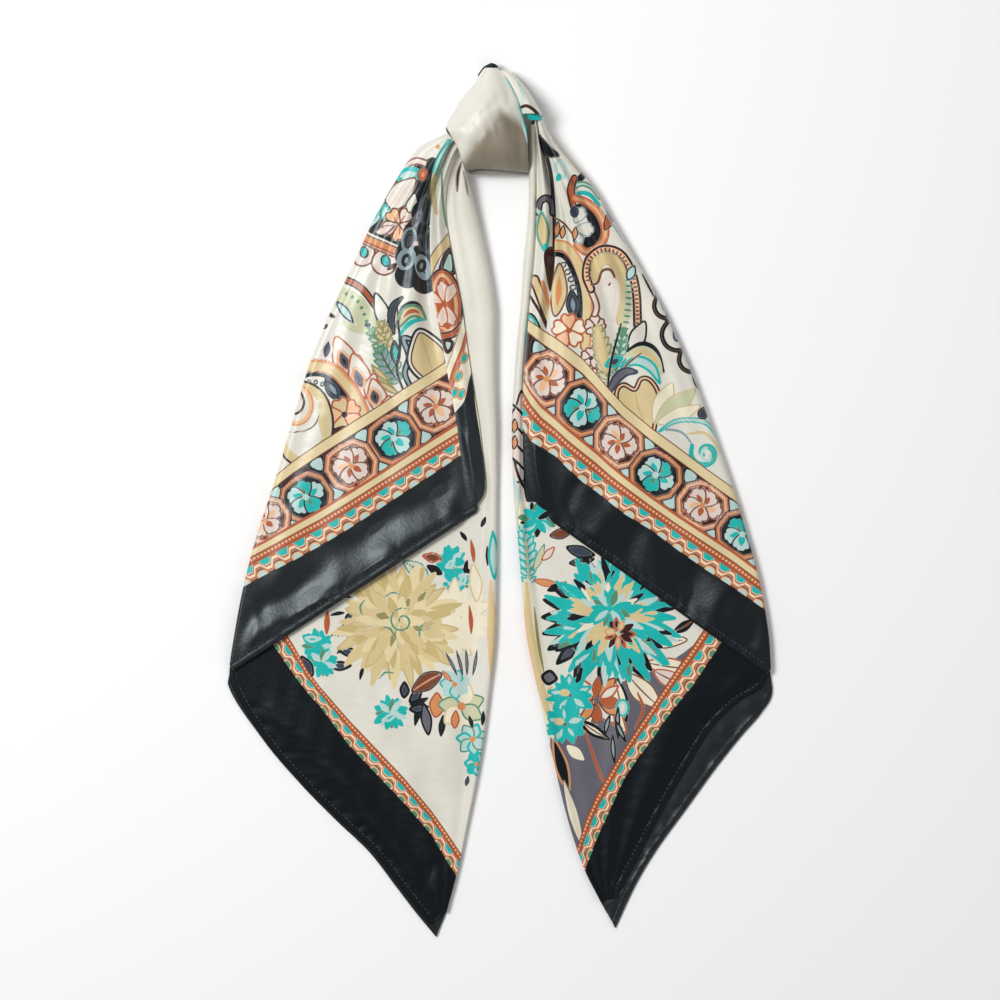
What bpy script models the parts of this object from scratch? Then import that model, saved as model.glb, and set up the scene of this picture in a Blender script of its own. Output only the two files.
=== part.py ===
"""Silk square scarf, folded on its diagonal, knotted at the middle and laid out flat.

The 900 mm square is doubled along its diagonal, printed faces out. The middle of the diagonal is
tied in one knot. Each half lies as two layers, folded over once more at its outer edge, so that the
upper drape shows one triangle of the square and the lower drape shows the other.

Lengths are in millimetres here and are turned into metres when a mesh is made. +X is to the right
of the scarf as it lies, +Y runs from its points to its knot, +Z is up, and it rests on z = 0.
"""
import math

import bmesh
import bpy
import numpy as np

SQUARE_SIDE = 900.0
# The tables below lie as measured on a 900 mm square, so another square scales the whole scarf.
TABLE_SQUARE = 900.0
MM = 0.001 * SQUARE_SIDE / TABLE_SQUARE
WALL = 1.2
SEAM_GAP = 0.3
# The bed that the folded-over layers rest on is the top of the layer underneath, past a seam gap.
BED = WALL + SEAM_GAP
FRONT_TOP = BED + WALL

# The turned and sewn hem, a little thicker than the cloth.
HEM_WIDTH = 5.0
HEM_WALL = 2.0
HEM_GAP = 0.5
HEM_ROUND = 0.5
HEM_TAPER = 12.0

# A fold's rounded nose: how far it turns in below, and how wide it is for its height.
LIP_TURN = math.radians(240)
NOSE_SLOPE = 0.65
NOSE_MOST = 0.3
ROLL_NOSE_MOST = 0.45
LOWER_NOSE_MOST = 0.4
NOSE_TURNS = 5

# Where an upper drape is highest, from its outer fold (0) to the valley (1), and how far the soft
# folds in it die away at either side.
CROWN_FROM = 0.4
CROWN_TO = 0.8
CROWN_FALL = 0.96
FADE_OUTER = 0.12
FADE_VALLEY = 0.08
# The crease along an inner roll, from the pleat (0) to the nose (1).
CREASE_AT = 0.42
CREASE_WIDTH = 0.16
# Waves across a lower drape, and where they start and are full, from its top (0) to its point (1).
LOWER_WAVES = 3
WAVES_FROM = 0.12
WAVES_OVER = 0.2
ROLL_MOST = 0.8

# Clearances of the rounded solids that stand for the hidden layers.
CORE_GAP = 1.1
CORE_SLACK = 0.4
CORE_CROWN_SLACK = 2.0
CORE_RISE_FROM = 0.68
CORE_RISE_OVER = 0.1
CORE_SHOULDER = ((0.0, 0.35), (0.12, 0.8), (0.35, 1.0), (0.6, 1.0))
CORE_LOW = 0.86
CORE_UNDER_PLEAT = 0.8
CORE_END = 0.985
EDGE_INSET = 2.5

DRAPE_ROWS = 25
DRAPE_COLUMNS = 17
PLEAT_COLUMNS = 5
LOWER_ROWS = 25
LOWER_COLUMNS = 9
ROLL_ROWS = 20
ROLL_COLUMNS = 3
CORE_ROWS = 16
CORE_COLUMNS = 12
BAND_ROWS = 20
BAND_COLUMNS = 17
SIDE_ROWS = 12
SIDE_COLUMNS = 11
TUCK_ROWS = 7
TUCK_TURNS = 10

IVORY = (0.80, 0.77, 0.70)
SHADE_IVORY = (0.52, 0.49, 0.42)
PRINT_MIX = (0.62, 0.52, 0.40)
FLOWER_MIX = (0.60, 0.62, 0.52)
BORDER_BLACK = (0.012, 0.017, 0.024)
TEAL = (0.03, 0.45, 0.40)
SATIN_ROUGHNESS = 0.38
# Metres within which the ends of a ring meet.
MERGE = 1e-6


def table(columns, rows):
    """Named columns of a short table, each an array with a value for every row."""
    values = np.array(rows, float)
    return {name: values[:, i] for i, name in enumerate(columns.split())}


# A row for each section across a folded half, from the knot to the stitch line of its upper hem.
# outer: the fold at the silhouette. valley: the deep fold beside the pleat. edge: the pleat's free
# edge. inner: the diagonal fold that faces the other half.
BUNDLE_PLAN = "outer_x outer_y valley_x valley_y edge_x edge_y inner_x inner_y"
# The heights on the same sections. lip: the turned-in end of the outer fold. shoulder: its top.
# crown: the drape's middle. valley, pleat and edge: down beside the pleat and over it. foot and
# roll: the diagonal fold beside the pleat and at its top. crease: how deep the roll is creased.
BUNDLE_HEIGHTS = "lip shoulder crown valley pleat edge foot roll crease"
LEFT_PLAN = table(BUNDLE_PLAN, [
    (-28.5, 276.5, -26.0, 265.5, -22.0, 257.0, -15.5, 244.5),
    (-38.0, 267.0, -34.5, 259.0, -30.0, 250.5, -23.5, 239.0),
    (-59.5, 255.5, -41.0, 244.5, -35.5, 239.0, -21.5, 228.0),
    (-75.0, 233.5, -47.5, 226.5, -39.0, 222.0, -18.5, 215.0),
    (-92.0, 203.0, -50.5, 204.5, -39.0, 202.5, -15.5, 202.5),
    (-109.5, 165.5, -50.5, 172.5, -34.0, 172.5, -9.0, 172.5),
    (-124.5, 133.5, -47.5, 142.0, -28.0, 142.0, -4.0, 142.0),
    (-138.5, 98.5, -42.5, 116.0, -24.5, 116.0, -3.5, 116.0),
    (-151.5, 55.0, -36.5, 82.5, -19.5, 82.5, -3.0, 82.5),
    (-164.5, 11.5, -31.5, 55.0, -15.0, 55.0, -2.0, 55.0),
    (-178.0, -29.5, -28.5, 31.5, -12.5, 31.5, -1.5, 31.5),
    (-188.0, -70.0, -26.5, 12.0, -11.0, 14.0, -1.0, 12.0),
    (-194.5, -106.0, -23.5, -0.5, -12.0, 4.0, -1.5, -2.5),
    (-196.5, -119.5, -21.5, -5.5, -16.5, -3.5, -2.0, -9.0),
])
LEFT_HEIGHTS = table(BUNDLE_HEIGHTS, [
    (1.5, 17.0, 20.0, 15.0, 20.0, 15.0, 13.0, 17.0, 2.0),
    (1.5, 17.5, 23.0, 14.5, 23.0, 15.0, 12.0, 18.0, 2.6),
    (1.5, 16.0, 22.0, 12.0, 21.5, 13.0, 10.0, 17.0, 3.0),
    (1.5, 14.0, 20.0, 10.0, 19.0, 11.5, 8.0, 15.5, 2.8),
    (1.5, 12.5, 17.5, 8.5, 17.0, 10.0, 6.5, 14.0, 2.2),
    (1.5, 11.5, 15.0, 7.5, 15.0, 9.0, 5.5, 13.0, 1.2),
    (1.5, 10.5, 13.5, 7.0, 13.5, 8.5, 5.0, 12.0, 0.5),
    (1.5, 10.0, 12.0, 6.8, 12.0, 8.0, 4.5, 11.0, 0.0),
    (1.5, 9.5, 11.0, 6.6, 11.0, 7.5, 4.0, 9.5, 0.0),
    (1.7, 9.0, 10.0, 6.5, 9.5, 7.0, 3.8, 8.5, 0.0),
    (2.3, 8.2, 9.0, 6.4, 8.5, 6.6, 3.4, 7.5, 0.0),
    (3.1, 7.5, 8.2, 6.3, 7.5, 6.3, 3.2, 6.5, 0.0),
    (3.2, 6.8, 7.0, 6.2, 6.6, 6.1, 3.0, 6.0, 0.0),
    (3.2, 6.4, 6.2, 6.1, 6.2, 6.0, 3.0, 5.5, 0.0),
])
LEFT_BUNDLE = {**LEFT_PLAN, **LEFT_HEIGHTS}
RIGHT_PLAN = table(BUNDLE_PLAN, [
    (31.0, 278.0, 26.5, 276.5, 24.5, 276.0, 21.0, 275.0),
    (35.5, 267.0, 28.5, 264.5, 26.0, 263.0, 21.0, 262.0),
    (47.5, 251.0, 33.0, 247.0, 26.5, 244.5, 21.0, 243.0),
    (66.0, 229.5, 37.5, 225.0, 26.5, 223.0, 21.0, 221.5),
    (82.0, 203.0, 39.5, 201.5, 26.5, 201.5, 20.0, 201.5),
    (102.0, 168.5, 39.5, 172.5, 25.0, 172.5, 17.0, 172.5),
    (121.0, 133.5, 36.5, 145.0, 22.0, 145.0, 15.5, 145.0),
    (138.5, 94.0, 33.0, 116.0, 19.5, 116.0, 12.5, 116.0),
    (153.0, 55.0, 33.0, 83.0, 17.0, 83.0, 10.0, 83.0),
    (167.0, 15.5, 33.0, 54.0, 16.5, 54.0, 8.5, 54.0),
    (179.0, -23.5, 35.5, 25.0, 17.0, 25.0, 9.0, 25.0),
    (188.5, -58.5, 39.0, 5.5, 20.5, 7.0, 10.0, 3.5),
    (195.0, -95.0, 42.0, -6.0, 27.5, -3.5, 11.5, -6.0),
    (197.0, -122.5, 44.0, -13.5, 36.0, -9.0, 12.0, -12.0),
])
RIGHT_HEIGHTS = table(BUNDLE_HEIGHTS, [
    (1.5, 15.5, 17.5, 14.0, 17.0, 14.0, 12.0, 15.0, 0.0),
    (1.5, 17.5, 22.0, 14.5, 20.0, 14.5, 11.5, 16.0, 0.4),
    (1.5, 16.5, 21.5, 12.0, 20.0, 13.0, 10.0, 15.5, 0.8),
    (1.5, 14.0, 20.0, 10.0, 18.0, 11.5, 8.0, 13.0, 1.0),
    (1.5, 12.5, 17.5, 8.5, 16.0, 10.0, 6.5, 11.5, 1.0),
    (1.5, 11.5, 15.0, 7.5, 14.5, 9.0, 5.5, 10.5, 0.8),
    (1.5, 10.5, 13.5, 7.5, 13.0, 8.5, 5.0, 9.5, 0.8),
    (1.5, 10.0, 12.0, 8.5, 11.5, 8.0, 4.5, 8.5, 1.0),
    (1.5, 9.5, 11.0, 9.0, 10.5, 7.5, 4.0, 8.0, 1.0),
    (1.7, 9.0, 10.0, 8.6, 9.5, 7.0, 3.8, 7.5, 0.8),
    (2.3, 8.2, 9.0, 7.8, 8.5, 6.6, 3.4, 7.0, 0.4),
    (3.1, 7.5, 8.2, 7.0, 7.5, 6.3, 3.2, 6.5, 0.0),
    (3.2, 6.8, 7.0, 6.5, 6.6, 6.1, 3.0, 6.0, 0.0),
    (3.2, 6.4, 6.2, 6.2, 6.2, 6.0, 3.0, 5.5, 0.0),
])
RIGHT_BUNDLE = {**RIGHT_PLAN, **RIGHT_HEIGHTS}
# Where the inner roll starts and hands over to the lower drape, along the rows above.
ROLL_START = 0.02
ROLL_END = 11.2 / 13
# Where the lower drape's hem starts, along the rows of the lower drapes.
HEM_START = 0.12
# The sections of the layer underneath, along the rows above and then along the lower drape.
UPPER_ROWS = np.linspace(0, 0.88, 12)
UNDER_ROWS = np.linspace(0.125, 1, 22)
# The stretch at either end of the hem underneath where it thins to the layer's own wall.
HEM_THIN_TO = 0.2
HEM_THIN_OVER = 0.1

# Soft folds in the upper drapes: where each lies from the outer fold (0) to the valley (1), how wide
# and how high it is, at the knot and at the hem, and the stretch of the drape that it runs along.
FOLDS = "knot_at hem_at knot_width hem_width knot_height hem_height start end"
LEFT_FOLDS = table(FOLDS, [
    (0.20, 0.14, 0.10, 0.05, 1.5, 0.9, 0.04, 1.00),
    (0.38, 0.27, 0.08, 0.06, -1.8, -0.8, 0.06, 0.98),
    (0.55, 0.42, 0.09, 0.07, 1.8, 0.9, 0.05, 1.00),
    (0.70, 0.58, 0.07, 0.06, -1.6, -0.9, 0.08, 0.95),
    (0.82, 0.74, 0.07, 0.07, 1.6, 0.8, 0.05, 1.00),
    (0.90, 0.88, 0.05, 0.05, -1.2, -0.6, 0.10, 0.92),
])
RIGHT_FOLDS = table(FOLDS, [
    (0.18, 0.12, 0.08, 0.05, -1.4, -0.7, 0.05, 0.98),
    (0.34, 0.25, 0.09, 0.07, 1.8, 0.9, 0.04, 1.00),
    (0.50, 0.40, 0.07, 0.06, -2.0, -0.8, 0.06, 0.96),
    (0.64, 0.55, 0.08, 0.07, 1.9, 0.9, 0.05, 1.00),
    (0.78, 0.70, 0.06, 0.06, -1.8, -0.8, 0.07, 0.95),
    (0.90, 0.86, 0.06, 0.06, 1.5, 0.7, 0.05, 1.00),
])

# A row for each section across a lower drape, from the line where it comes out under the upper
# drape to its point. outer: its hemmed edge. bend: a point on the way. inner: the diagonal fold.
LOWER = "outer_x outer_y bend_x bend_y inner_x inner_y roll_width roll swell"
LEFT_LOWER = table(LOWER, [
    (-191.5, -102.0, -21.5, 7.5, -2.0, 7.5, 9.0, 6.2, 0.0),
    (-196.0, -132.5, -72.5, -82.0, -2.5, -55.0, 15.0, 7.0, 0.3),
    (-171.0, -175.5, -72.5, -137.0, -3.5, -102.0, 18.0, 6.5, 1.0),
    (-143.5, -207.0, -65.0, -171.0, -7.5, -138.5, 18.0, 6.0, 1.2),
    (-118.0, -232.5, -55.0, -201.0, -11.5, -171.0, 16.0, 5.5, 1.1),
    (-94.0, -255.0, -49.0, -229.5, -16.5, -201.0, 13.0, 5.2, 0.9),
    (-75.0, -279.5, -44.5, -256.5, -23.0, -233.0, 10.0, 4.9, 0.6),
    (-60.5, -298.0, -42.5, -281.0, -30.0, -266.5, 6.0, 4.6, 0.3),
    (-51.5, -309.5, -43.5, -303.0, -38.0, -297.0, 3.2, 4.4, 0.0),
])
RIGHT_LOWER = table(LOWER, [
    (193.0, -100.5, 33.0, -1.5, 10.5, -1.5, 9.0, 6.2, 0.0),
    (194.0, -132.0, 87.5, -80.5, 13.5, -35.5, 13.0, 7.0, 0.3),
    (173.5, -147.0, 87.5, -111.0, 16.5, -70.0, 15.0, 6.5, 0.9),
    (154.5, -166.0, 84.0, -135.0, 20.0, -103.5, 15.0, 6.2, 1.2),
    (138.5, -191.0, 82.0, -166.0, 28.5, -143.0, 14.0, 5.8, 1.1),
    (122.5, -218.5, 79.0, -201.5, 37.5, -183.5, 12.0, 5.4, 0.9),
    (108.0, -246.0, 78.0, -237.5, 48.5, -229.5, 10.0, 5.0, 0.6),
    (95.0, -271.0, 77.5, -268.0, 60.5, -266.5, 6.0, 4.6, 0.3),
    (85.5, -289.0, 79.0, -290.0, 73.0, -292.0, 3.2, 4.4, 0.0),
])
# Hemmed outer edge of the layer underneath, below the upper drape, on the same sections.
EDGE = "outer_x outer_y"
LEFT_UNDER = table(EDGE, [
    (-190.0, -102.0), (-198.0, -133.0), (-172.5, -174.0), (-145.0, -206.5), (-119.5, -232.5),
    (-95.0, -256.0), (-76.0, -280.5), (-61.5, -299.5), (-46.5, -317.5),
])
RIGHT_UNDER = table(EDGE, [
    (191.0, -100.5), (198.0, -137.0), (190.0, -154.5), (175.0, -172.0), (156.0, -196.0),
    (136.5, -223.0), (114.0, -254.0), (98.5, -280.0), (84.0, -311.0),
])

# The knot: sections across it from its top to its lower edge.
KNOT = "y left_x right_x left crown right"
KNOT_BAND = table(KNOT, [
    (313.5, -10.0, -2.0, 9.0, 14.0, 12.0),
    (308.0, -14.0, 3.5, 4.0, 22.0, 18.0),
    (299.0, -21.5, 8.5, 2.4, 30.0, 24.0),
    (290.5, -28.5, 12.5, 2.2, 35.0, 27.0),
    (281.5, -34.0, 15.5, 2.6, 38.0, 28.0),
    (274.5, -38.0, 17.5, 7.0, 39.0, 28.0),
    (267.5, -39.0, 19.3, 24.0, 39.0, 28.0),
    (259.0, -32.5, 20.0, 26.0, 38.0, 27.0),
    (252.0, -29.5, 20.3, 26.5, 35.5, 25.0),
    (244.5, -27.0, 20.5, 24.0, 29.0, 21.0),
    (239.5, -24.5, 20.5, 17.0, 20.5, 15.0),
    (236.5, -21.5, 20.5, 9.0, 11.0, 8.0),
])
KNOT_SIDE = table(KNOT, [
    (312.0, -1.1, 5.5, 12.0, 13.5, 8.0),
    (308.0, 3.8, 11.5, 18.0, 19.5, 5.0),
    (299.0, 9.0, 19.5, 24.0, 26.5, 3.5),
    (290.5, 12.9, 25.0, 27.0, 30.5, 4.0),
    (284.5, 15.0, 28.0, 27.8, 31.0, 14.0),
    (280.0, 16.3, 30.5, 27.8, 30.0, 24.5),
])
# How high the core's sides stand, as a share of its middle.
CORE_SIDE = 0.45
KNOT_CORE = table("y left_x right_x high", [
    (306.0, -10.0, -1.0, 18.0),
    (299.0, -17.5, 5.0, 26.0),
    (290.5, -24.0, 9.3, 31.0),
    (283.5, -25.5, 11.5, 34.0),
    (277.0, -24.0, 13.0, 35.0),
    (268.0, -21.5, 15.0, 35.0),
    (259.0, -17.0, 16.5, 33.5),
    (252.0, -12.5, 17.0, 30.5),
    (246.0, -8.5, 17.3, 25.0),
])
KNOT_TUCK = table("y left_x right_x low high", [
    (283.0, 19.0, 25.0, 19.8, 23.2),
    (280.5, 18.5, 27.5, 19.5, 23.6),
    (278.0, 19.0, 30.0, 19.3, 23.6),
    (275.5, 21.0, 30.5, 19.2, 22.4),
])
TIP_DROOP = 1.0
KNOT_TIP = table("x near_y far_y z", [
    (-16.0, 307.2, 309.2, 7.5),
    (-12.4, 312.4, 314.2, 9.0),
    (-10.6, 313.9, 315.4, 9.8),
    (-8.0, 313.9, 316.8, 10.5),
    (-6.0, 313.9, 317.5, 11.0),
    (-3.5, 313.9, 316.6, 10.5),
    (-1.5, 313.9, 315.2, 10.0),
])


def at(columns, name, v):
    """A table column at v, from 0 at its first row to 1 at its last, on a smooth curve."""
    rows = columns[name]
    place = np.clip(v, 0.0, 1.0) * (len(rows) - 1)
    low = min(int(place), len(rows) - 2)
    t = place - low
    padded = np.concatenate([[2 * rows[0] - rows[1]], rows, [2 * rows[-1] - rows[-2]]])
    a, b, c, d = padded[low:low + 4]
    return b + 0.5 * t * (c - a + t * (2 * a - 5 * b + 4 * c - d + t * (3 * (b - c) + d - a)))


def ease(t):
    return (1 - math.cos(math.pi * min(max(t, 0.0), 1.0))) / 2


def through(stops, t):
    """The height at t on gentle slopes between (place, height) stops, level at each stop."""
    for (start, low), (end, high) in zip(stops, stops[1:]):
        if t <= end:
            return low + (high - low) * ease((t - start) / (end - start))
    return stops[-1][1]


def plan(columns, name, v):
    return np.array([at(columns, name + "_x", v), at(columns, name + "_y", v)])


def nose_radius(bundle, v, length):
    rise = at(bundle, "shoulder", v) - at(bundle, "lip", v)
    return min(NOSE_SLOPE * rise, NOSE_MOST * length)


def nose(radius, low, high, turns):
    """(offset, height) along the rounded fold from its turned-in lip up to its shoulder."""
    rise = (high - low) / (1 - math.sin(LIP_TURN))
    middle = high - rise
    angles = np.linspace(LIP_TURN, math.pi / 2, turns)
    return [(radius * (1 + math.cos(a)), middle + rise * math.sin(a)) for a in angles]


def fold_height(folds, w, v):
    """How far the soft folds raise or lower the cloth at w across and v along the drape."""
    total = 0.0
    for i in range(len(folds["start"])):
        start, end = folds["start"][i], folds["end"][i]
        run = (v - start) / (end - start)
        if 0 < run < 1:
            place = folds["knot_at"][i] + (folds["hem_at"][i] - folds["knot_at"][i]) * v
            width = folds["knot_width"][i] + (folds["hem_width"][i] - folds["knot_width"][i]) * v
            height = folds["knot_height"][i] + (folds["hem_height"][i] - folds["knot_height"][i]) * v
            total += height * math.exp(-((w - place) / width) ** 2) * math.sin(math.pi * run) ** 0.5
    return total


def drape_section(bundle, folds, v):
    """Outer face of an upper drape at v: round the outer fold, across, and over the pleat."""
    outer, valley, edge = (plan(bundle, name, v) for name in ("outer", "valley", "edge"))
    lip, shoulder, crown = (at(bundle, name, v) for name in ("lip", "shoulder", "crown"))
    valley_z, pleat, edge_z = (at(bundle, name, v) for name in ("valley", "pleat", "edge"))
    length = np.linalg.norm(valley - outer)
    along = (valley - outer) / length
    radius = nose_radius(bundle, v, length)
    points = [(*(outer + along * off), z) for off, z in nose(radius, lip, shoulder, NOSE_TURNS)]
    stops = [(0.0, shoulder), (CROWN_FROM, crown), (CROWN_TO, crown * CROWN_FALL), (1.0, valley_z)]
    for w in np.linspace(0, 1, DRAPE_COLUMNS + 1)[1:]:
        spot = outer + along * (radius + w * (length - radius))
        hide = ease(w / FADE_OUTER) * ease((1 - w) / FADE_VALLEY)
        points.append((*spot, through(stops, w) + hide * fold_height(folds, w, v)))
    stops = [(0.0, valley_z), (0.5, pleat), (1.0, edge_z)]
    for w in np.linspace(0, 1, PLEAT_COLUMNS + 1)[1:]:
        points.append((*(valley + (edge - valley) * w), through(stops, w)))
    return points


def roll_section(bundle, v):
    """Outer face of the diagonal fold from beside the pleat to the inner silhouette."""
    edge, inner = plan(bundle, "edge", v), plan(bundle, "inner", v)
    foot, roll = at(bundle, "foot", v), at(bundle, "roll", v)
    length = np.linalg.norm(inner - edge)
    along = (inner - edge) / length
    radius = min(NOSE_SLOPE * (roll - BED), ROLL_NOSE_MOST * length)
    rim = edge + along * 2 * SEAM_GAP
    width = length - 2 * SEAM_GAP - radius
    points = []
    for w in np.linspace(0, 1, 3 * ROLL_COLUMNS):
        dip = at(bundle, "crease", v) * math.exp(-((w - CREASE_AT) / CREASE_WIDTH) ** 2)
        height = foot + (roll - foot) * math.sin(math.pi / 2 * w) - dip * ease(w / 0.2)
        points.append((*(rim + along * w * width), height))
    down = reversed(nose(radius, BED, roll, NOSE_TURNS)[:-1])
    return points + [(*(inner - along * off), z) for off, z in down]


def lower_section(lower, v):
    """Outer face of a lower drape at v: level from its hem, then up over the diagonal fold."""
    outer, bend, inner = (plan(lower, name, v) for name in ("outer", "bend", "inner"))
    roll_width, roll, swell = (at(lower, name, v) for name in ("roll_width", "roll", "swell"))
    outward = (outer - bend) / np.linalg.norm(outer - bend)
    taper = min(1.0, np.linalg.norm(outer - bend) / HEM_TAPER)
    start = outer - outward * (HEM_WIDTH + SEAM_GAP) * taper
    inner_length = np.linalg.norm(inner - bend)
    along = (inner - bend) / inner_length
    roll_width = min(roll_width, ROLL_MOST * inner_length)
    foot = inner - along * roll_width
    first = np.linalg.norm(bend - start)
    path_length = first + np.linalg.norm(foot - bend)
    swell *= ease((v - WAVES_FROM) / WAVES_OVER)
    points = []
    for w in np.linspace(0, 1, LOWER_COLUMNS):
        run = w * path_length
        spot = start + (bend - start) * run / first if run < first else bend + along * (run - first)
        wave = swell * (1 - math.cos(2 * LOWER_WAVES * math.pi * w)) / 2
        points.append((*spot, FRONT_TOP + wave))
    radius = min(NOSE_SLOPE * (roll - BED), LOWER_NOSE_MOST * roll_width)
    for w in np.linspace(0, 1, ROLL_COLUMNS + 1)[1:]:
        spot = foot + along * w * (roll_width - radius)
        points.append((*spot, FRONT_TOP + (roll - FRONT_TOP) * ease(w)))
    down = reversed(nose(radius, BED, roll, NOSE_TURNS)[:-1])
    return points + [(*(inner - along * off), z) for off, z in down]


def satin(name, colour):
    material = bpy.data.materials.new(name)
    material.use_nodes = True
    shader = material.node_tree.nodes["Principled BSDF"]
    shader.inputs["Base Color"].default_value = (*colour, 1.0)
    shader.inputs["Roughness"].default_value = SATIN_ROUGHNESS
    shader.inputs["Metallic"].default_value = 0.0
    material.diffuse_color = (*colour, 1.0)
    return material


def grid_mesh(points):
    """A bmesh grid whose vertices are moved to points, an array of rows x columns x 3 in mm."""
    rows, columns = points.shape[:2]
    bm = bmesh.new()
    bmesh.ops.create_grid(bm, x_segments=columns - 1, y_segments=rows - 1, size=1.0)
    bm.verts.ensure_lookup_table()
    for vert, place in zip(bm.verts, points.reshape(-1, 3)):
        vert.co = place * MM
    return bm


def add_object(name, bm, colour):
    mesh = bpy.data.meshes.new(name)
    bm.to_mesh(mesh)
    bm.free()
    mesh.shade_smooth()
    mesh.materials.append(satin(name, colour))
    piece = bpy.data.objects.new(name, mesh)
    bpy.context.scene.collection.objects.link(piece)
    return piece


def cloth(name, sections, colour, wall=WALL):
    """A sheet through sections of its outer face, given its wall on the inside."""
    bm = grid_mesh(np.array(sections))
    bm.normal_update()
    if sum(face.normal.z * face.calc_area() for face in bm.faces) < 0:
        bmesh.ops.reverse_faces(bm, faces=bm.faces)
    piece = add_object(name, bm, colour)
    thicken = piece.modifiers.new("wall", "SOLIDIFY")
    thicken.thickness = wall * MM
    thicken.offset = -1.0
    thicken.use_even_offset = False
    return piece


def lofted(name, rings, colour):
    """A closed solid through rings of points, with its two ends filled."""
    rings = np.array(rings)
    bm = grid_mesh(np.concatenate([rings, rings[:, :1]], axis=1))
    bmesh.ops.remove_doubles(bm, verts=bm.verts, dist=MERGE)
    ends = [edge for edge in bm.edges if edge.is_boundary]
    bmesh.ops.holes_fill(bm, edges=ends, sides=0)
    bmesh.ops.recalc_face_normals(bm, faces=bm.faces)
    return add_object(name, bm, colour)


def band_rings(path, outward, low, high, width):
    """Rings of a flat hem band that runs beside a path, outward from it past a seam gap."""
    rings = []
    for spot, out in zip(path, outward):
        near, far = spot + out * HEM_GAP, spot + out * (HEM_GAP + width)
        rounded = far - out * HEM_ROUND
        middle = (low + high) / 2
        rings.append([(*near, low), (*rounded, low), (*far, middle), (*rounded, high), (*near, high)])
    return rings


def side_normals(path, away_from):
    """Unit normals of a plan path, on the side away from a point."""
    tangents = np.gradient(path, axis=0)
    normals = np.stack([tangents[:, 1], -tangents[:, 0]], axis=1)
    normals /= np.linalg.norm(normals, axis=1)[:, None]
    middle = len(path) // 2
    return normals if np.dot(normals[middle], path[middle] - away_from) > 0 else -normals


def make_upper_drape(side, bundle, folds):
    """The folded-over layer with its soft folds, its valley and its pleat."""
    sections = [drape_section(bundle, folds, v) for v in np.linspace(0, 1, DRAPE_ROWS)]
    cloth(side + "_upper_drape", sections, PRINT_MIX)


def make_upper_hem(side, bundle, folds):
    """The turned and sewn hem along the upper drape, from its outer fold to the pleat's corner."""
    path = np.array(drape_section(bundle, folds, 1.0))[NOSE_TURNS - 1:]
    normals = side_normals(path[:, :2], plan(bundle, "valley", 0.6))
    rings = []
    for i, (spot, out) in enumerate(zip(path, normals)):
        width = HEM_WIDTH * min(1.0, (len(path) - i) / PLEAT_COLUMNS)
        rings += band_rings([spot[:2]], [out], spot[2] - HEM_WALL, spot[2], width)
    lofted(side + "_upper_hem", rings, BORDER_BLACK)


def make_inner_roll(side, bundle):
    """The soft roll of the diagonal fold, plain silk, from the knot to the lower drape."""
    sections = [roll_section(bundle, v) for v in np.linspace(ROLL_START, ROLL_END, ROLL_ROWS)]
    cloth(side + "_inner_roll", sections, IVORY)


def make_lower_drape(side, lower):
    sections = [lower_section(lower, v) for v in np.linspace(0, 1, LOWER_ROWS)]
    cloth(side + "_lower_drape", sections, FLOWER_MIX)


def make_lower_hem(side, lower):
    """The sewn hem of the front layer, from the outer fold to its point."""
    rows = np.linspace(0, 1, LOWER_ROWS)
    path = np.array([lower_section(lower, v)[0][:2] for v in rows[rows > HEM_START]])
    normals = side_normals(path, plan(lower, "inner", 0.5))
    rings = band_rings(path, normals, BED, BED + HEM_WALL, HEM_WIDTH - HEM_ROUND - HEM_GAP)
    lofted(side + "_lower_hem", rings, BORDER_BLACK)


def make_under_layer(side, bundle, lower, under, hem):
    """The layer that rests on the floor, a flat wall under the whole half."""
    rows = []
    for v in UPPER_ROWS:
        outer, inner = plan(bundle, "outer", v), plan(bundle, "inner", v)
        along = (inner - outer) / np.linalg.norm(inner - outer)
        rows.append((outer + along * EDGE_INSET, inner - along * EDGE_INSET))
    for v in UNDER_ROWS:
        outer, inner = plan(under, "outer", v), plan(lower, "inner", v)
        along = (inner - outer) / np.linalg.norm(inner - outer)
        rows.append((outer + along * hem, inner - along * EDGE_INSET / 2))
    rings = [[(*a, 0.0), (*b, 0.0), (*b, WALL), (*a, WALL)] for a, b in rows]
    lofted(side + "_under_layer", rings, BORDER_BLACK)


def make_under_hem(side, lower, under, hem):
    """The sewn hem of the layer underneath, where it shows beyond the front layer."""
    path, normals = [], []
    for v in UNDER_ROWS:
        outer, inner = plan(under, "outer", v), plan(lower, "inner", v)
        along = (inner - outer) / np.linalg.norm(inner - outer)
        path.append(outer + along * hem)
        normals.append(-along)
    rings = []
    for spot, out, v in zip(path, normals, UNDER_ROWS):
        thickened = ease((v - HEM_THIN_TO) / HEM_THIN_OVER) * ease((1 - v) / HEM_THIN_OVER)
        high = WALL + (HEM_WALL - WALL) * thickened
        rings += band_rings([spot], [out], 0.0, high, hem - HEM_GAP)
    lofted(side + "_under_hem", rings, BORDER_BLACK)


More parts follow.
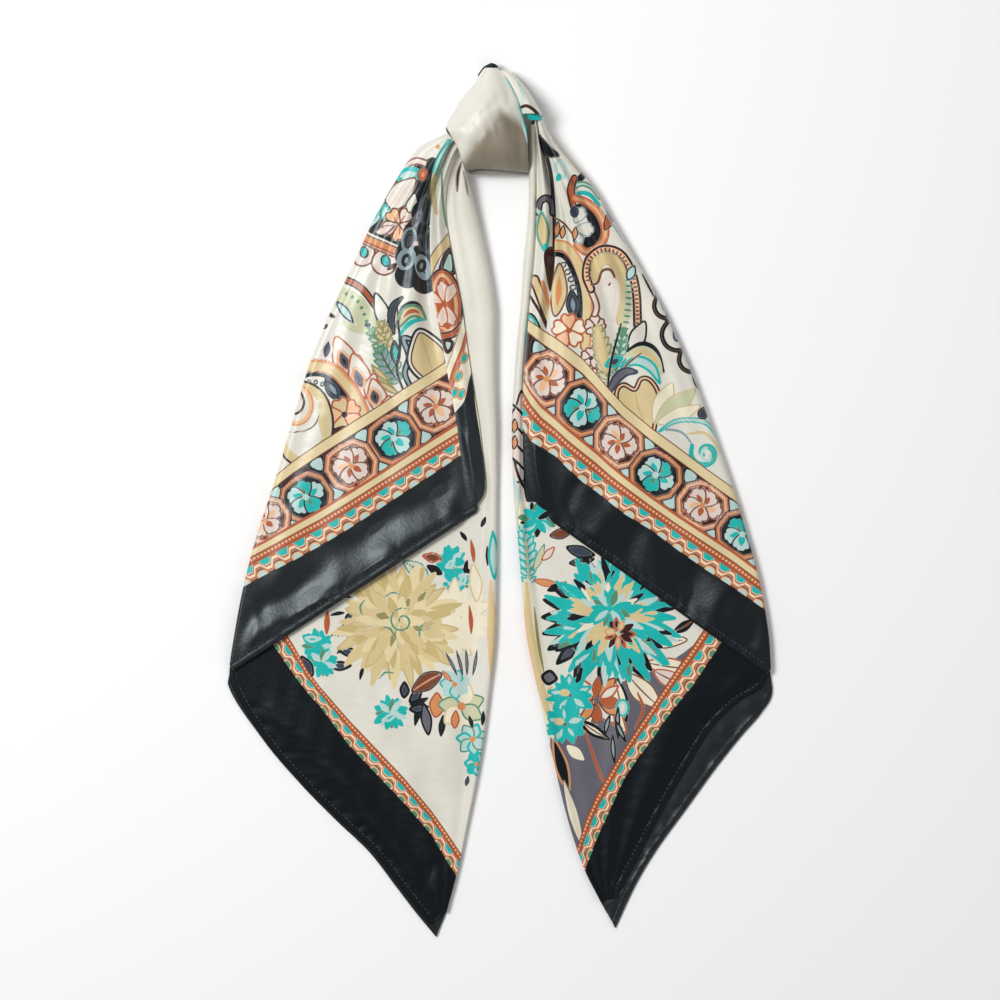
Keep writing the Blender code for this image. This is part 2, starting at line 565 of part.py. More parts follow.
def make_fold_core(side, bundle):
    """The hidden layers of the fold as one rounded solid, drawn out to a layer's edge at the hem."""
    rings = []
    for v in np.linspace(ROLL_START, CORE_END, CORE_ROWS):
        outer, valley, edge = (plan(bundle, name, v) for name in ("outer", "valley", "edge"))
        shoulder, crown, dip = (at(bundle, name, v) for name in ("shoulder", "crown", "valley"))
        base = BED + (WALL + SEAM_GAP) * ease((v - CORE_RISE_FROM) / CORE_RISE_OVER)
        low = dip - WALL - CORE_GAP - CORE_SLACK
        high = 0.5 * (shoulder + crown) - WALL - CORE_GAP - CORE_CROWN_SLACK
        stops = [(w, share * high) for w, share in CORE_SHOULDER] + [(CORE_LOW, low), (1.0, low)]
        length = np.linalg.norm(valley - outer)
        inset = nose_radius(bundle, v, length) * (1 + math.cos(LIP_TURN)) + 2 * WALL
        start = outer + (valley - outer) * inset / length
        spots = [start + (valley - start) * w for w in np.linspace(0, 1, CORE_COLUMNS)]
        tops = [through(stops, w) for w in np.linspace(0, 1, CORE_COLUMNS)]
        spots.append(valley + (edge - valley) * CORE_UNDER_PLEAT)
        tops.append(min(low, at(bundle, "edge", v) - WALL - CORE_GAP))
        top = [(*spot, max(z, base + WALL)) for spot, z in zip(spots, tops)]
        rings.append(top + [(x, y, base) for x, y, z in reversed(top)])
    lofted(side + "_fold_core", rings, SHADE_IVORY)


def knot_section(knot, v, across, left_round, right_round):
    """Outer face of a turn of the knot, its left and right sides rounded down or running level."""
    y = at(knot, "y", v)
    left_x, right_x = at(knot, "left_x", v), at(knot, "right_x", v)
    left, crown, right = at(knot, "left", v), at(knot, "crown", v), at(knot, "right", v)
    points = []
    for angle in np.linspace(0, math.pi, across):
        x = (left_x + right_x) / 2 - (right_x - left_x) / 2 * math.cos(angle)
        if angle < math.pi / 2:
            share = math.sin(angle) if left_round else ease(angle / (math.pi / 2))
            points.append((x, y, left + (crown - left) * share))
        else:
            turn = math.pi - angle
            share = math.sin(turn) if right_round else ease(turn / (math.pi / 2))
            points.append((x, y, right + (crown - right) * share))
    return points


def make_knot_band():
    """The plain silk band that crosses over the knot."""
    rows = np.linspace(0, 1, BAND_ROWS)
    cloth("knot_band", [knot_section(KNOT_BAND, v, BAND_COLUMNS, True, False) for v in rows], IVORY)


def make_knot_side():
    """The fold of the band's far side, which turns down to the right."""
    rows = np.linspace(0, 1, SIDE_ROWS)
    sections = [knot_section(KNOT_SIDE, v, SIDE_COLUMNS, False, True) for v in rows]
    cloth("knot_side_fold", sections, IVORY)


def make_knot_core():
    """The hidden turns of the knot as one rounded solid that rests on the floor."""
    rings = []
    for v in np.linspace(0, 1, SIDE_ROWS):
        y, start, end, high = (at(KNOT_CORE, name, v) for name in ("y", "left_x", "right_x", "high"))
        top = []
        for angle in np.linspace(0, math.pi, SIDE_COLUMNS):
            x = (start + end) / 2 - (end - start) / 2 * math.cos(angle)
            top.append((x, y, high * (CORE_SIDE + (1 - CORE_SIDE) * math.sin(angle))))
        rings.append(top + [(x, y, 0.0) for x, y, z in reversed(top)])
    lofted("knot_core", rings, SHADE_IVORY)


def make_knot_tuck():
    """The small turned edge that is tucked between the side fold and the right half."""
    rings = []
    for v in np.linspace(0, 1, TUCK_ROWS):
        y, start, end = (at(KNOT_TUCK, name, v) for name in ("y", "left_x", "right_x"))
        low, high = at(KNOT_TUCK, "low", v), at(KNOT_TUCK, "high", v)
        ring = []
        for angle in np.linspace(0, 2 * math.pi, TUCK_TURNS + 1)[:-1]:
            x = (start + end) / 2 - (end - start) / 2 * math.cos(angle)
            ring.append((x, y, (low + high) / 2 + (high - low) / 2 * math.sin(angle)))
        rings.append(ring)
    lofted("knot_tuck", rings, TEAL)


def make_knot_tip():
    """The hemmed corner of the square that peeks over the top of the knot."""
    rings = []
    for x, near_y, far_y, z in zip(*(KNOT_TIP[name] for name in ("x", "near_y", "far_y", "z"))):
        tip = z - TIP_DROOP
        rings.append([(x, near_y, z), (x, far_y, tip), (x, far_y, tip - WALL), (x, near_y, z - WALL)])
    lofted("knot_tip", rings, BORDER_BLACK)


def main():
    for leftover in list(bpy.data.objects):
        bpy.data.objects.remove(leftover)
    halves = (
        ("left", LEFT_BUNDLE, LEFT_FOLDS, LEFT_LOWER, LEFT_UNDER),
        ("right", RIGHT_BUNDLE, RIGHT_FOLDS, RIGHT_LOWER, RIGHT_UNDER),
    )
    for side, bundle, folds, lower, under in halves:
        hem = 0.0 if side == "left" else HEM_WIDTH
        make_under_layer(side, bundle, lower, under, hem)
        if hem:
            make_under_hem(side, lower, under, hem)
        make_fold_core(side, bundle)
        make_upper_drape(side, bundle, folds)
        make_upper_hem(side, bundle, folds)
        make_inner_roll(side, bundle)
        make_lower_drape(side, lower)
        make_lower_hem(side, lower)
    make_knot_core()
    make_knot_band()
    make_knot_side()
    make_knot_tuck()
    make_knot_tip()


main()
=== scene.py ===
"""Silk square scarf, knotted at the middle and laid flat, as a Blender add-on.

The 900 mm square is doubled on its diagonal, tied in one knot, and each half is folded over once
more at its outer edge. Lengths are in millimetres in the tables and become metres in the meshes.
+X is to the right of the scarf as it lies, +Y runs from its points to its knot, and +Z is up.
"""
import math

import bmesh
import bpy
import numpy as np
from bpy.props import FloatProperty, FloatVectorProperty
from mathutils import Matrix, Vector


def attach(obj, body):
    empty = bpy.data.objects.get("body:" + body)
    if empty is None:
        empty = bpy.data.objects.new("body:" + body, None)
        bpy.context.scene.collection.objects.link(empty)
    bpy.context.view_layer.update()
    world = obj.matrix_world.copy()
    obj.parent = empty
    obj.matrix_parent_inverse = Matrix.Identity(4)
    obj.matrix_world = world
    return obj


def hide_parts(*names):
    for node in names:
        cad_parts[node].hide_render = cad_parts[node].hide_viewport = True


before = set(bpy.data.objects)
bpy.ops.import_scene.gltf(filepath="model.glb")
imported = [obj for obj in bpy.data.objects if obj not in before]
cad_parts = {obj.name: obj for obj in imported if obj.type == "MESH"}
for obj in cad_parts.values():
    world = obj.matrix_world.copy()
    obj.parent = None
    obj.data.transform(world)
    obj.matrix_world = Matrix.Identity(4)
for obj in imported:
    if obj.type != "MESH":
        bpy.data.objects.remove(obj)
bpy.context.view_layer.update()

bl_info = {
    "name": "Silk square scarf",
    "version": (1, 0, 0),
    "blender": (4, 5, 0),
    "location": "View3D > Sidebar > Scarf",
    "description": "A printed silk satin square, knotted and laid flat",
    "category": "Object",
}

MM = 0.001
WALL = 1.2
SEAM_GAP = 0.3
BED = WALL + SEAM_GAP
FRONT_TOP = BED + WALL
HEM_WIDTH = 5.0
HEM_TAPER = 12.0
LIP_TURN = math.radians(240)
NOSE_SLOPE = 0.65
NOSE_MOST = 0.3
ROLL_NOSE_MOST = 0.45
LOWER_NOSE_MOST = 0.4
CROWN_FROM, CROWN_TO, CROWN_FALL = 0.4, 0.8, 0.96
FADE_OUTER, FADE_VALLEY = 0.12, 0.08
CREASE_AT, CREASE_WIDTH = 0.42, 0.16
LOWER_WAVES, WAVES_FROM, WAVES_OVER = 3, 0.12, 0.2
DRAPE_LOWEST = 5.4
BORDER_FROM, BORDER_OVER, BORDER_CALM = 0.78, 0.08, 0.6
# Spans of the soft and the fine ripples, and how high the fine ones stand beside the soft ones.
SOFT_SPAN, FINE_SPAN, FINE_SHARE = 24.0, 10.0, 0.35
LOWER_SOFT, LOWER_FINE, LOWER_SOFT_SHARE, LOWER_FINE_SHARE = 26.0, 9.0, 0.8, 0.27
# How far the lower drape's ripples take to rise from its hem and to fall before its fold.
SWAY_HEM, SWAY_FOLD = 14, 12
ROLL_TUCK = 2.0
ROLL_MOST = 0.8
ROLL_START, ROLL_END = 0.02, 11.2 / 13

# How finely the cloth is laid: rows along a half and columns across it.
DRAPE_ROWS, NOSE_COLUMNS, DRAPE_COLUMNS, PLEAT_COLUMNS = 420, 16, 176, 22
ROLL_ROWS, ROLL_COLUMNS, ROLL_NOSE = 260, 24, 10
LOWER_ROWS, LOWER_COLUMNS = 330, 210
BACK_ROWS, BACK_COLUMNS = 150, 26
KNOT_ROWS, KNOT_COLUMNS = 110, 90

# The pleat's print starts this share of its width from the valley.
PLEAT_SEAM = 0.004

# A printed edge is this sharp, and an ink further off than this is not felt.
EDGE_SOFT = 0.16
CLEAR = 3.0


def table(columns, rows):
    """Named columns of a short table, each an array with a value for every row."""
    values = np.array(rows, float)
    return {name: values[:, i] for i, name in enumerate(columns.split())}


# Sections across a folded half, from the knot to the stitch line of its upper hem.
BUNDLE = ("outer_x outer_y valley_x valley_y edge_x edge_y inner_x inner_y "
          "lip shoulder crown valley pleat edge foot roll crease")
LEFT_BUNDLE = table(BUNDLE, [
    (-28.5, 276.5, -26, 265.5, -22, 257, -15.5, 244.5, 1.5, 17, 20, 15, 20, 15, 13, 17, 2),
    (-38, 267, -34.5, 259, -30, 250.5, -23.5, 239, 1.5, 17.5, 23, 14.5, 23, 15, 12, 18, 2.6),
    (-59.5, 255.5, -41, 244.5, -35.5, 239, -21.5, 228, 1.5, 16, 22, 12, 21.5, 13, 10, 17, 3),
    (-75, 233.5, -47.5, 226.5, -39, 222, -18.5, 215, 1.5, 14, 20, 10, 19, 11.5, 8, 15.5, 2.8),
    (-92, 203, -50.5, 204.5, -39, 202.5, -15.5, 202.5, 1.5, 12.5, 17.5, 8.5, 17, 10, 6.5, 14, 2.2),
    (-109.5, 165.5, -50.5, 172.5, -34, 172.5, -9, 172.5, 1.5, 11.5, 15, 7.5, 15, 9, 5.5, 13, 1.2),
    (-124.5, 133.5, -47.5, 142, -28, 142, -4, 142, 1.5, 10.5, 13.5, 7, 13.5, 8.5, 5, 12, 0.5),
    (-138.5, 98.5, -42.5, 116, -24.5, 116, -3.5, 116, 1.5, 10, 12, 6.8, 12, 8, 4.5, 11, 0),
    (-151.5, 55, -36.5, 82.5, -19.5, 82.5, -3, 82.5, 1.5, 9.5, 11, 6.6, 11, 7.5, 4, 9.5, 0),
    (-164.5, 11.5, -31.5, 55, -15, 55, -2, 55, 1.7, 9, 10, 6.5, 9.5, 7, 3.8, 8.5, 0),
    (-178, -29.5, -28.5, 31.5, -12.5, 31.5, -1.5, 31.5, 2.3, 8.2, 9, 6.4, 8.5, 6.6, 3.4, 7.5, 0),
    (-188, -70, -26.5, 12, -11, 14, -1, 12, 3.1, 7.5, 8.2, 6.3, 7.5, 6.3, 3.2, 6.5, 0),
    (-194.5, -106, -23.5, -0.5, -12, 4, -1.5, -2.5, 3.2, 6.8, 7, 6.2, 6.6, 6.1, 3, 6, 0),
    (-196.5, -119.5, -21.5, -5.5, -16.5, -3.5, -2, -9, 3.2, 6.4, 6.2, 6.1, 6.2, 6, 3, 5.5, 0),
])
RIGHT_BUNDLE = table(BUNDLE, [
    (31, 278, 26.5, 276.5, 24.5, 276, 21, 275, 1.5, 15.5, 17.5, 14, 17, 14, 12, 15, 0),
    (35.5, 267, 28.5, 264.5, 26, 263, 21, 262, 1.5, 17.5, 22, 14.5, 20, 14.5, 11.5, 16, 0.4),
    (47.5, 251, 33, 247, 26.5, 244.5, 21, 243, 1.5, 16.5, 21.5, 12, 20, 13, 10, 15.5, 0.8),
    (66, 229.5, 37.5, 225, 26.5, 223, 21, 221.5, 1.5, 14, 20, 10, 18, 11.5, 8, 13, 1),
    (82, 203, 39.5, 201.5, 26.5, 201.5, 20, 201.5, 1.5, 12.5, 17.5, 8.5, 16, 10, 6.5, 11.5, 1),
    (102, 168.5, 39.5, 172.5, 25, 172.5, 17, 172.5, 1.5, 11.5, 15, 7.5, 14.5, 9, 5.5, 10.5, 0.8),
    (121, 133.5, 36.5, 145, 22, 145, 15.5, 145, 1.5, 10.5, 13.5, 7.5, 13, 8.5, 5, 9.5, 0.8),
    (138.5, 94, 33, 116, 19.5, 116, 12.5, 116, 1.5, 10, 12, 8.5, 11.5, 8, 4.5, 8.5, 1),
    (153, 55, 33, 83, 17, 83, 10, 83, 1.5, 9.5, 11, 9, 10.5, 7.5, 4, 8, 1),
    (167, 15.5, 33, 54, 16.5, 54, 8.5, 54, 1.7, 9, 10, 8.6, 9.5, 7, 3.8, 7.5, 0.8),
    (179, -23.5, 35.5, 25, 17, 25, 9, 25, 2.3, 8.2, 9, 7.8, 8.5, 6.6, 3.4, 7, 0.4),
    (188.5, -58.5, 39, 5.5, 20.5, 7, 10, 3.5, 3.1, 7.5, 8.2, 7, 7.5, 6.3, 3.2, 6.5, 0),
    (195, -95, 42, -6, 27.5, -3.5, 11.5, -6, 3.2, 6.8, 7, 6.5, 6.6, 6.1, 3, 6, 0),
    (197, -122.5, 44, -13.5, 36, -9, 12, -12, 3.2, 6.4, 6.2, 6.2, 6.2, 6, 3, 5.5, 0),
])

# Soft folds in the upper drapes, from the outer fold (0) to the valley (1).
FOLDS = "knot_at hem_at knot_width hem_width knot_height hem_height start end"
LEFT_FOLDS = table(FOLDS, [
    (0.20, 0.14, 0.10, 0.05, 1.5, 0.9, 0.04, 1.00),
    (0.38, 0.27, 0.08, 0.06, -1.8, -0.8, 0.06, 0.98),
    (0.55, 0.42, 0.09, 0.07, 1.8, 0.9, 0.05, 1.00),
    (0.70, 0.58, 0.07, 0.06, -1.6, -0.9, 0.08, 0.95),
    (0.82, 0.74, 0.07, 0.07, 1.6, 0.8, 0.05, 1.00),
    (0.90, 0.88, 0.05, 0.05, -1.2, -0.6, 0.10, 0.92),
])
RIGHT_FOLDS = table(FOLDS, [
    (0.18, 0.12, 0.08, 0.05, -1.4, -0.7, 0.05, 0.98),
    (0.34, 0.25, 0.09, 0.07, 1.8, 0.9, 0.04, 1.00),
    (0.50, 0.40, 0.07, 0.06, -2, -0.8, 0.06, 0.96),
    (0.64, 0.55, 0.08, 0.07, 1.9, 0.9, 0.05, 1.00),
    (0.78, 0.70, 0.06, 0.06, -1.8, -0.8, 0.07, 0.95),
    (0.90, 0.86, 0.06, 0.06, 1.5, 0.7, 0.05, 1.00),
])
# Lower drapes: the hemmed edge, a point on the way, and the diagonal fold.
LOWER = "outer_x outer_y bend_x bend_y inner_x inner_y roll_width roll swell"
LEFT_LOWER = table(LOWER, [
    (-191.5, -102, -21.5, 7.5, -2, 7.5, 9, 6.2, 0),
    (-196, -132.5, -72.5, -82, -2.5, -55, 15, 7, 0.3),
    (-171, -175.5, -72.5, -137, -3.5, -102, 18, 6.5, 1),
    (-143.5, -207, -65, -171, -7.5, -138.5, 18, 6, 1.2),
    (-118, -232.5, -55, -201, -11.5, -171, 16, 5.5, 1.1),
    (-94, -255, -49, -229.5, -16.5, -201, 13, 5.2, 0.9),
    (-75, -279.5, -44.5, -256.5, -23, -233, 10, 4.9, 0.6),
    (-60.5, -298, -42.5, -281, -30, -266.5, 6, 4.6, 0.3),
    (-51.5, -309.5, -43.5, -303, -38, -297, 3.2, 4.4, 0),
])
RIGHT_LOWER = table(LOWER, [
    (193, -100.5, 33, -1.5, 10.5, -1.5, 9, 6.2, 0),
    (194, -132, 87.5, -80.5, 13.5, -35.5, 13, 7, 0.3),
    (173.5, -147, 87.5, -111, 16.5, -70, 15, 6.5, 0.9),
    (154.5, -166, 84, -135, 20, -103.5, 15, 6.2, 1.2),
    (138.5, -191, 82, -166, 28.5, -143, 14, 5.8, 1.1),
    (122.5, -218.5, 79, -201.5, 37.5, -183.5, 12, 5.4, 0.9),
    (108, -246, 78, -237.5, 48.5, -229.5, 10, 5, 0.6),
    (95, -271, 77.5, -268, 60.5, -266.5, 6, 4.6, 0.3),
    (85.5, -289, 79, -290, 73, -292, 3.2, 4.4, 0),
])
# Hemmed outer edge of the layer underneath, on the same sections.
EDGE = "outer_x outer_y"
LEFT_UNDER = table(EDGE, [
    (-190, -102), (-198, -133), (-172.5, -174), (-145, -206.5), (-119.5, -232.5),
    (-95, -256), (-76, -280.5), (-61.5, -299.5), (-46.5, -317.5),
])
RIGHT_UNDER = table(EDGE, [
    (191, -100.5), (198, -137), (190, -154.5), (175, -172), (156, -196),
    (136.5, -223), (114, -254), (98.5, -280), (84, -311),
])
KNOT = "y left_x right_x left crown right"
KNOT_BAND = table(KNOT, [
    (313.5, -10, -2, 9, 14, 12),
    (308, -14, 3.5, 4, 22, 18),
    (299, -21.5, 8.5, 2.4, 30, 24),
    (290.5, -28.5, 12.5, 2.2, 35, 27),
    (281.5, -34, 15.5, 2.6, 38, 28),
    (274.5, -38, 17.5, 7, 39, 28),
    (267.5, -39, 19.3, 24, 39, 28),
    (259, -32.5, 20, 26, 38, 27),
    (252, -29.5, 20.3, 26.5, 35.5, 25),
    (244.5, -27, 20.5, 24, 29, 21),
    (239.5, -24.5, 20.5, 17, 20.5, 15),
    (236.5, -21.5, 20.5, 9, 11, 8),
])
KNOT_SIDE = table(KNOT, [
    (312, -1.1, 5.5, 12, 13.5, 8),
    (308, 3.8, 11.5, 18, 19.5, 5),
    (299, 9, 19.5, 24, 26.5, 3.5),
    (290.5, 12.9, 25, 27, 30.5, 4),
    (284.5, 15, 28, 27.8, 31, 14),
    (280, 16.3, 30.5, 27.8, 30, 24.5),
])
KNOT_TUCK = table("y left_x right_x low high", [
    (283, 19, 25, 19.8, 23.2),
    (280.5, 18.5, 27.5, 19.5, 23.6),
    (278, 19, 30, 19.3, 23.6),
    (275.5, 21, 30.5, 19.2, 22.4),
])
TIP_DROOP = 1.0
KNOT_TIP = table("x near_y far_y z", [
    (-16, 307.2, 309.2, 7.5),
    (-12.4, 312.4, 314.2, 9),
    (-10.6, 313.9, 315.4, 9.8),
    (-8, 313.9, 316.8, 10.5),
    (-6, 313.9, 317.5, 11),
    (-3.5, 313.9, 316.6, 10.5),
    (-1.5, 313.9, 315.2, 10),
])

# Bands on the upper drapes: for each place across the scarf, how far up the trim's outer edge, its
# dotted stripe, the pale stripe above it and the wide stripe beside the field lie.
BANDS = "x edge dotted pale wide"
LEFT_BANDS = table(BANDS, [
    (-210, -76, -59, -54, -20),
    (-190, -65, -48.5, -43.5, -7),
    (-170, -54, -38, -33, 8),
    (-150, -44, -27, -22, 24),
    (-130, -33, -16.5, -11, 37.5),
    (-110, -21, -4.5, 1, 50),
    (-90, -8, 8.5, 13.5, 62.5),
    (-70, 5, 21, 26.5, 76),
    (-50, 18, 34, 39.5, 88.5),
    (-30, 31.5, 46.5, 52, 102),
    (-10, 45, 60, 65.5, 115),
])
RIGHT_BANDS = table(BANDS, [
    (0, 70, 92, 103, 138),
    (16, 53, 74, 85, 130),
    (22, 43, 65, 74, 125),
    (30, 38, 56, 63.5, 119),
    (40, 32, 48.5, 55, 112.5),
    (50, 22, 39, 46, 105),
    (60, 13, 31, 38, 97),
    (70, 6, 23, 30, 86),
    (80, -2, 14.5, 21, 74.5),
    (90, -10, 7, 13, 64),
    (110, -22, -7.5, -2, 47.5),
    (130, -37, -21, -16, 33),
    (150, -51, -34.5, -29, 18),
    (170, -64, -48, -42, 4),
    (190, -78, -63, -57, -10),
    (210, -92, -78, -72, -24),
])
# The same bands' places across the band, in mm from the trim's outer edge.
DOTTED_AT, PALE_AT, WIDE_AT = 13.4, 18.0, 58.0
# The trim of the lower drapes: its outer edge and its inner edge.
TRIM = "x outer inner"
LEFT_TRIM = table(TRIM, [
    (-200, -60, -30), (-165, -105, -82), (-150, -127, -106), (-140, -140, -124),
    (-130, -151, -137), (-110, -178, -160), (-90, -199, -181), (-70, -220, -202),
    (-50, -243, -226), (-40, -260, -240), (-30, -276, -255), (-15, -298, -277),
])
RIGHT_TRIM = table(TRIM, [
    (45, -310, -285), (58, -278, -247), (63, -266, -231), (70, -247, -215),
    (80, -225, -198), (90, -203, -181), (100, -188, -166), (110, -175, -151),
    (120, -160, -136), (130, -147, -121), (140, -135, -107), (150, -120, -92),
    (160, -105, -78), (200, -50, -22),
])
LOWER_TRIM = 15.5
LEFT_WAY = (0.838, 0.545)
RIGHT_WAY = (0.80, -0.60)
LEFT_LOWER_WAY = (0.68, -0.73)
RIGHT_LOWER_WAY = (0.57, 0.82)


def rgb(red, green, blue):
    """A colour's linear values from its usual 0 to 255 ones."""
    shares = np.array([red, green, blue]) / 255
    return tuple(np.where(shares <= 0.04045, shares / 12.92, ((shares + 0.055) / 1.055) ** 2.4))


IVORY = rgb(224, 220, 208)
# SHADE_IVORY is the ivory darkened as painted shade, for the hidden layers.
SHADE_IVORY = rgb(190, 183, 168)
BORDER = rgb(9, 13, 17)
STRIPE = rgb(226, 206, 160)
THREAD = rgb(62, 72, 80)
INKS = {
    "black": rgb(17, 21, 25),
    "maroon": rgb(58, 27, 23),
    "brown": rgb(118, 66, 41),
    "rust": rgb(180, 90, 51),
    "orange": rgb(216, 143, 88),
    "beige": rgb(216, 194, 144),
    "mustard": rgb(200, 178, 121),
    "cream": rgb(238, 228, 203),
    "sand": rgb(228, 210, 162),
    "pink": rgb(226, 208, 198),
    "mint": rgb(184, 213, 208),
    "teal": rgb(28, 180, 174),
    "green": rgb(86, 140, 108),
    "slate": rgb(58, 66, 82),
    "grey": rgb(102, 99, 109),
    "sage": rgb(202, 203, 166),
    # taupe is used as painted shade, on the knot band and on the left roll.
    "taupe": rgb(140, 130, 112),
    "peach": rgb(236, 186, 142),
    "olive": rgb(150, 142, 90),
    "steel": rgb(138, 158, 166),
    "ivory": IVORY,
}


def at(columns, name, v):
    """A table column at v, from 0 at its first row to 1 at its last, on a smooth curve."""
    rows = columns[name]
    place = np.clip(v, 0.0, 1.0) * (len(rows) - 1)
    low = np.minimum(place.astype(int), len(rows) - 2)
    t = place - low
    padded = np.concatenate([[2 * rows[0] - rows[1]], rows, [2 * rows[-1] - rows[-2]]])
    a, b, c, d = (padded[low + i] for i in range(4))
    return b + 0.5 * t * (c - a + t * (2 * a - 5 * b + 4 * c - d + t * (3 * (b - c) + d - a)))


def ease(t):
    return (1 - np.cos(np.pi * np.clip(t, 0.0, 1.0))) / 2


def through(stops, t):
    """Heights at t on gentle slopes between (place, height) stops, level at each stop."""
    height = np.zeros_like(t) + stops[0][1]
    for (start, low), (end, high) in zip(stops, stops[1:]):
        height = np.where(t > start, low + (high - low) * ease((t - start) / (end - start)), height)
    return height


def plan(columns, name, v):
    """Plan places of a table's named line at each v, with a column axis."""
    return np.stack([at(columns, name + "_x", v), at(columns, name + "_y", v)], axis=-1)[:, None]


def level(columns, name, v):
    """A table's named height at each v, with a column axis."""
    return at(columns, name, v)[:, None]


def nose(radius, low, high, turns):
    """Offsets and heights along a rounded fold from its turned-in lip up to its shoulder."""
    rise = (high - low) / (1 - math.sin(LIP_TURN))
    angles = np.linspace(LIP_TURN, math.pi / 2, turns)
    return radius * (1 + np.cos(angles)), high - rise + rise * np.sin(angles)


def join(spots, heights):
    return np.concatenate([spots, heights[..., None]], axis=-1)


def run_along(path):
    """How far along a path each of its points is."""
    return np.cumsum(np.linalg.norm(np.diff(path, axis=0, prepend=path[:1]), axis=1))


def ripple(x, y, seed, span):
    """Uneven soft ripples of about one unit, longer along the cloth's hang than across it."""
    chance = np.random.default_rng(seed)
    total = np.zeros_like(x)
    for _ in range(7):
        angle, phase = chance.uniform(-0.5, 0.5), chance.uniform(0, 2 * math.pi)
        length = span * chance.uniform(0.6, 1.7)
        run = x * math.cos(angle) + y * math.sin(angle)
        total += np.sin(2 * math.pi * run / length + phase) * chance.uniform(0.3, 1.0)
    return total / 3


# Creases, listed one by one: from where to where, how far each bows sideways, how wide and how high.
CREASE = "x y to_x to_y bow width height"
LEFT_CREASES = table(CREASE, [
    (-204, -93, -126, -52, -2, 9, -2),
    (-132, -44, -34, 14, -1, 12, -2.5),
    (-200, -114, -128, -73, 1, 11, 2.2),
    (-136, -77, -76, -39, -2, 14, 2.6),
    (-88, -47, -26, -8, 0, 14, 2.6),
    (-186, -70, -182, -104, 6, 4.5, 1),
    (-150, -84, -108, -66, 2, 3, 0.7),
    (-170, -98, -128, -74, -2, 2.6, -0.6),
    (-128, 96, -104, 20, 6, 8, 1.1),
    (-146, 60, -150, -10, -5, 7, -1),
    (-96, 190, -88, 100, 5, 7, -1.2),
    (-70, 150, -66, 60, -4, 6, 1.2),
    (-84, 214, -112, 130, -5, 6, 1),
    (-60, 236, -62, 170, 3, 4.5, -1),
    (-50, 226, -44, 100, -5, 9, -2.4),
    (-68, 168, -62, 90, -3, 8, 1.4),
])
RIGHT_CREASES = table(CREASE, [
    (26, 44, 40, -12, -3, 3.2, 1.8),
    (86, 4, 66, -30, 2, 10, 1.7),
    (60, 16, 48, -8, -2, 6, -1),
    (108, -14, 90, -46, -2, 9, -1.2),
    (146, -44, 124, -78, 3, 11, -1.7),
    (172, -60, 150, -98, -3, 10, 2),
    (192, -84, 176, -112, 2, 6, -1.1),
    (158, -94, 184, -110, -2, 3.6, 0.8),
    (52, 186, 78, 90, 6, 6, 1.2),
    (82, 176, 108, 96, 5, 7, -1.3),
    (112, 130, 138, 40, 5, 7, 1.2),
    (138, 88, 160, 10, 4, 6, -1),
    (60, 216, 66, 150, 3, 4.5, -0.9),
    (48, 236, 46, 160, -2, 4.5, 1),
])
LEFT_PLEAT_CREASES = table(CREASE, [
    (-26, 48, -17, 2, 1, 2.6, 0.9),
    (-30, 128, -24, 60, 1, 3, 0.8),
])
RIGHT_PLEAT_CREASES = table(CREASE, [
    (26, 46, 33, -8, -2, 2.4, 0.9),
    (30, 190, 27, 100, 1, 3, 0.8),
])
LEFT_LOWER_CREASES = table(CREASE, [
    (-170, -150, -96, -222, 4, 8, 1.2),
    (-120, -120, -60, -220, 6, 9, 1),
    (-96, -232, -52, -286, -3, 7, 1),
    (-140, -176, -100, -200, -3, 5, -0.7),
    (-40, -70, -34, -190, 4, 8, 1),
    (-90, -110, -72, -180, -4, 7, -0.8),
    (-60, -292, -46, -262, 2, 5, -0.6),
])
RIGHT_LOWER_CREASES = table(CREASE, [
    (176, -128, 128, -196, 4, 7, 1.3),
    (128, -196, 100, -252, 3, 6, 1.1),
    (118, -222, 104, -230, 0, 3, 0.8),
    (60, -60, 66, -160, -5, 8, 1),
    (96, -120, 70, -220, 5, 8, 0.9),
    (36, -80, 52, -170, 4, 6, -0.8),
    (92, -268, 78, -286, 2, 4, 0.7),
])


def creased(x, y, creases):
    """How far the listed creases raise or lower the cloth at plan places."""
    total = np.zeros_like(x)
    for x0, y0, x1, y1, bow, width, height in zip(*creases.values()):
        long = math.hypot(x1 - x0, y1 - y0)
        along = ((x - x0) * (x1 - x0) + (y - y0) * (y1 - y0)) / long ** 2
        off = ((y - y0) * (x1 - x0) - (x - x0) * (y1 - y0)) / long - 4 * bow * along * (1 - along)
        fade = ease(np.clip(along + 0.15, 0, 1) / 0.35) * ease(np.clip(1.15 - along, 0, 1) / 0.35)
        total += height * fade * np.exp(-(off / width) ** 2)
    return total


def puckers(along, inside, seed):
    """Small uneven gathers beside a hem: along it, and how far inside it, in mm."""
    chance = np.random.default_rng(seed)
    total, place = np.zeros_like(along), along.min()
    while place < along.max():
        place += chance.uniform(7.0, 15.0)
        width, reach = chance.uniform(1.8, 4.2), chance.uniform(7.0, 22.0)
        depth, lean = chance.uniform(0.15, 0.6), chance.uniform(-0.5, 0.5)
        share = np.clip(inside / reach, 0, 1)
        away = (along - place - lean * inside) / (width * (1 + share))
        total -= depth * np.exp(-away ** 2) * (1 - ease(share)) * ease((inside + 5.5) / 5)
    return total


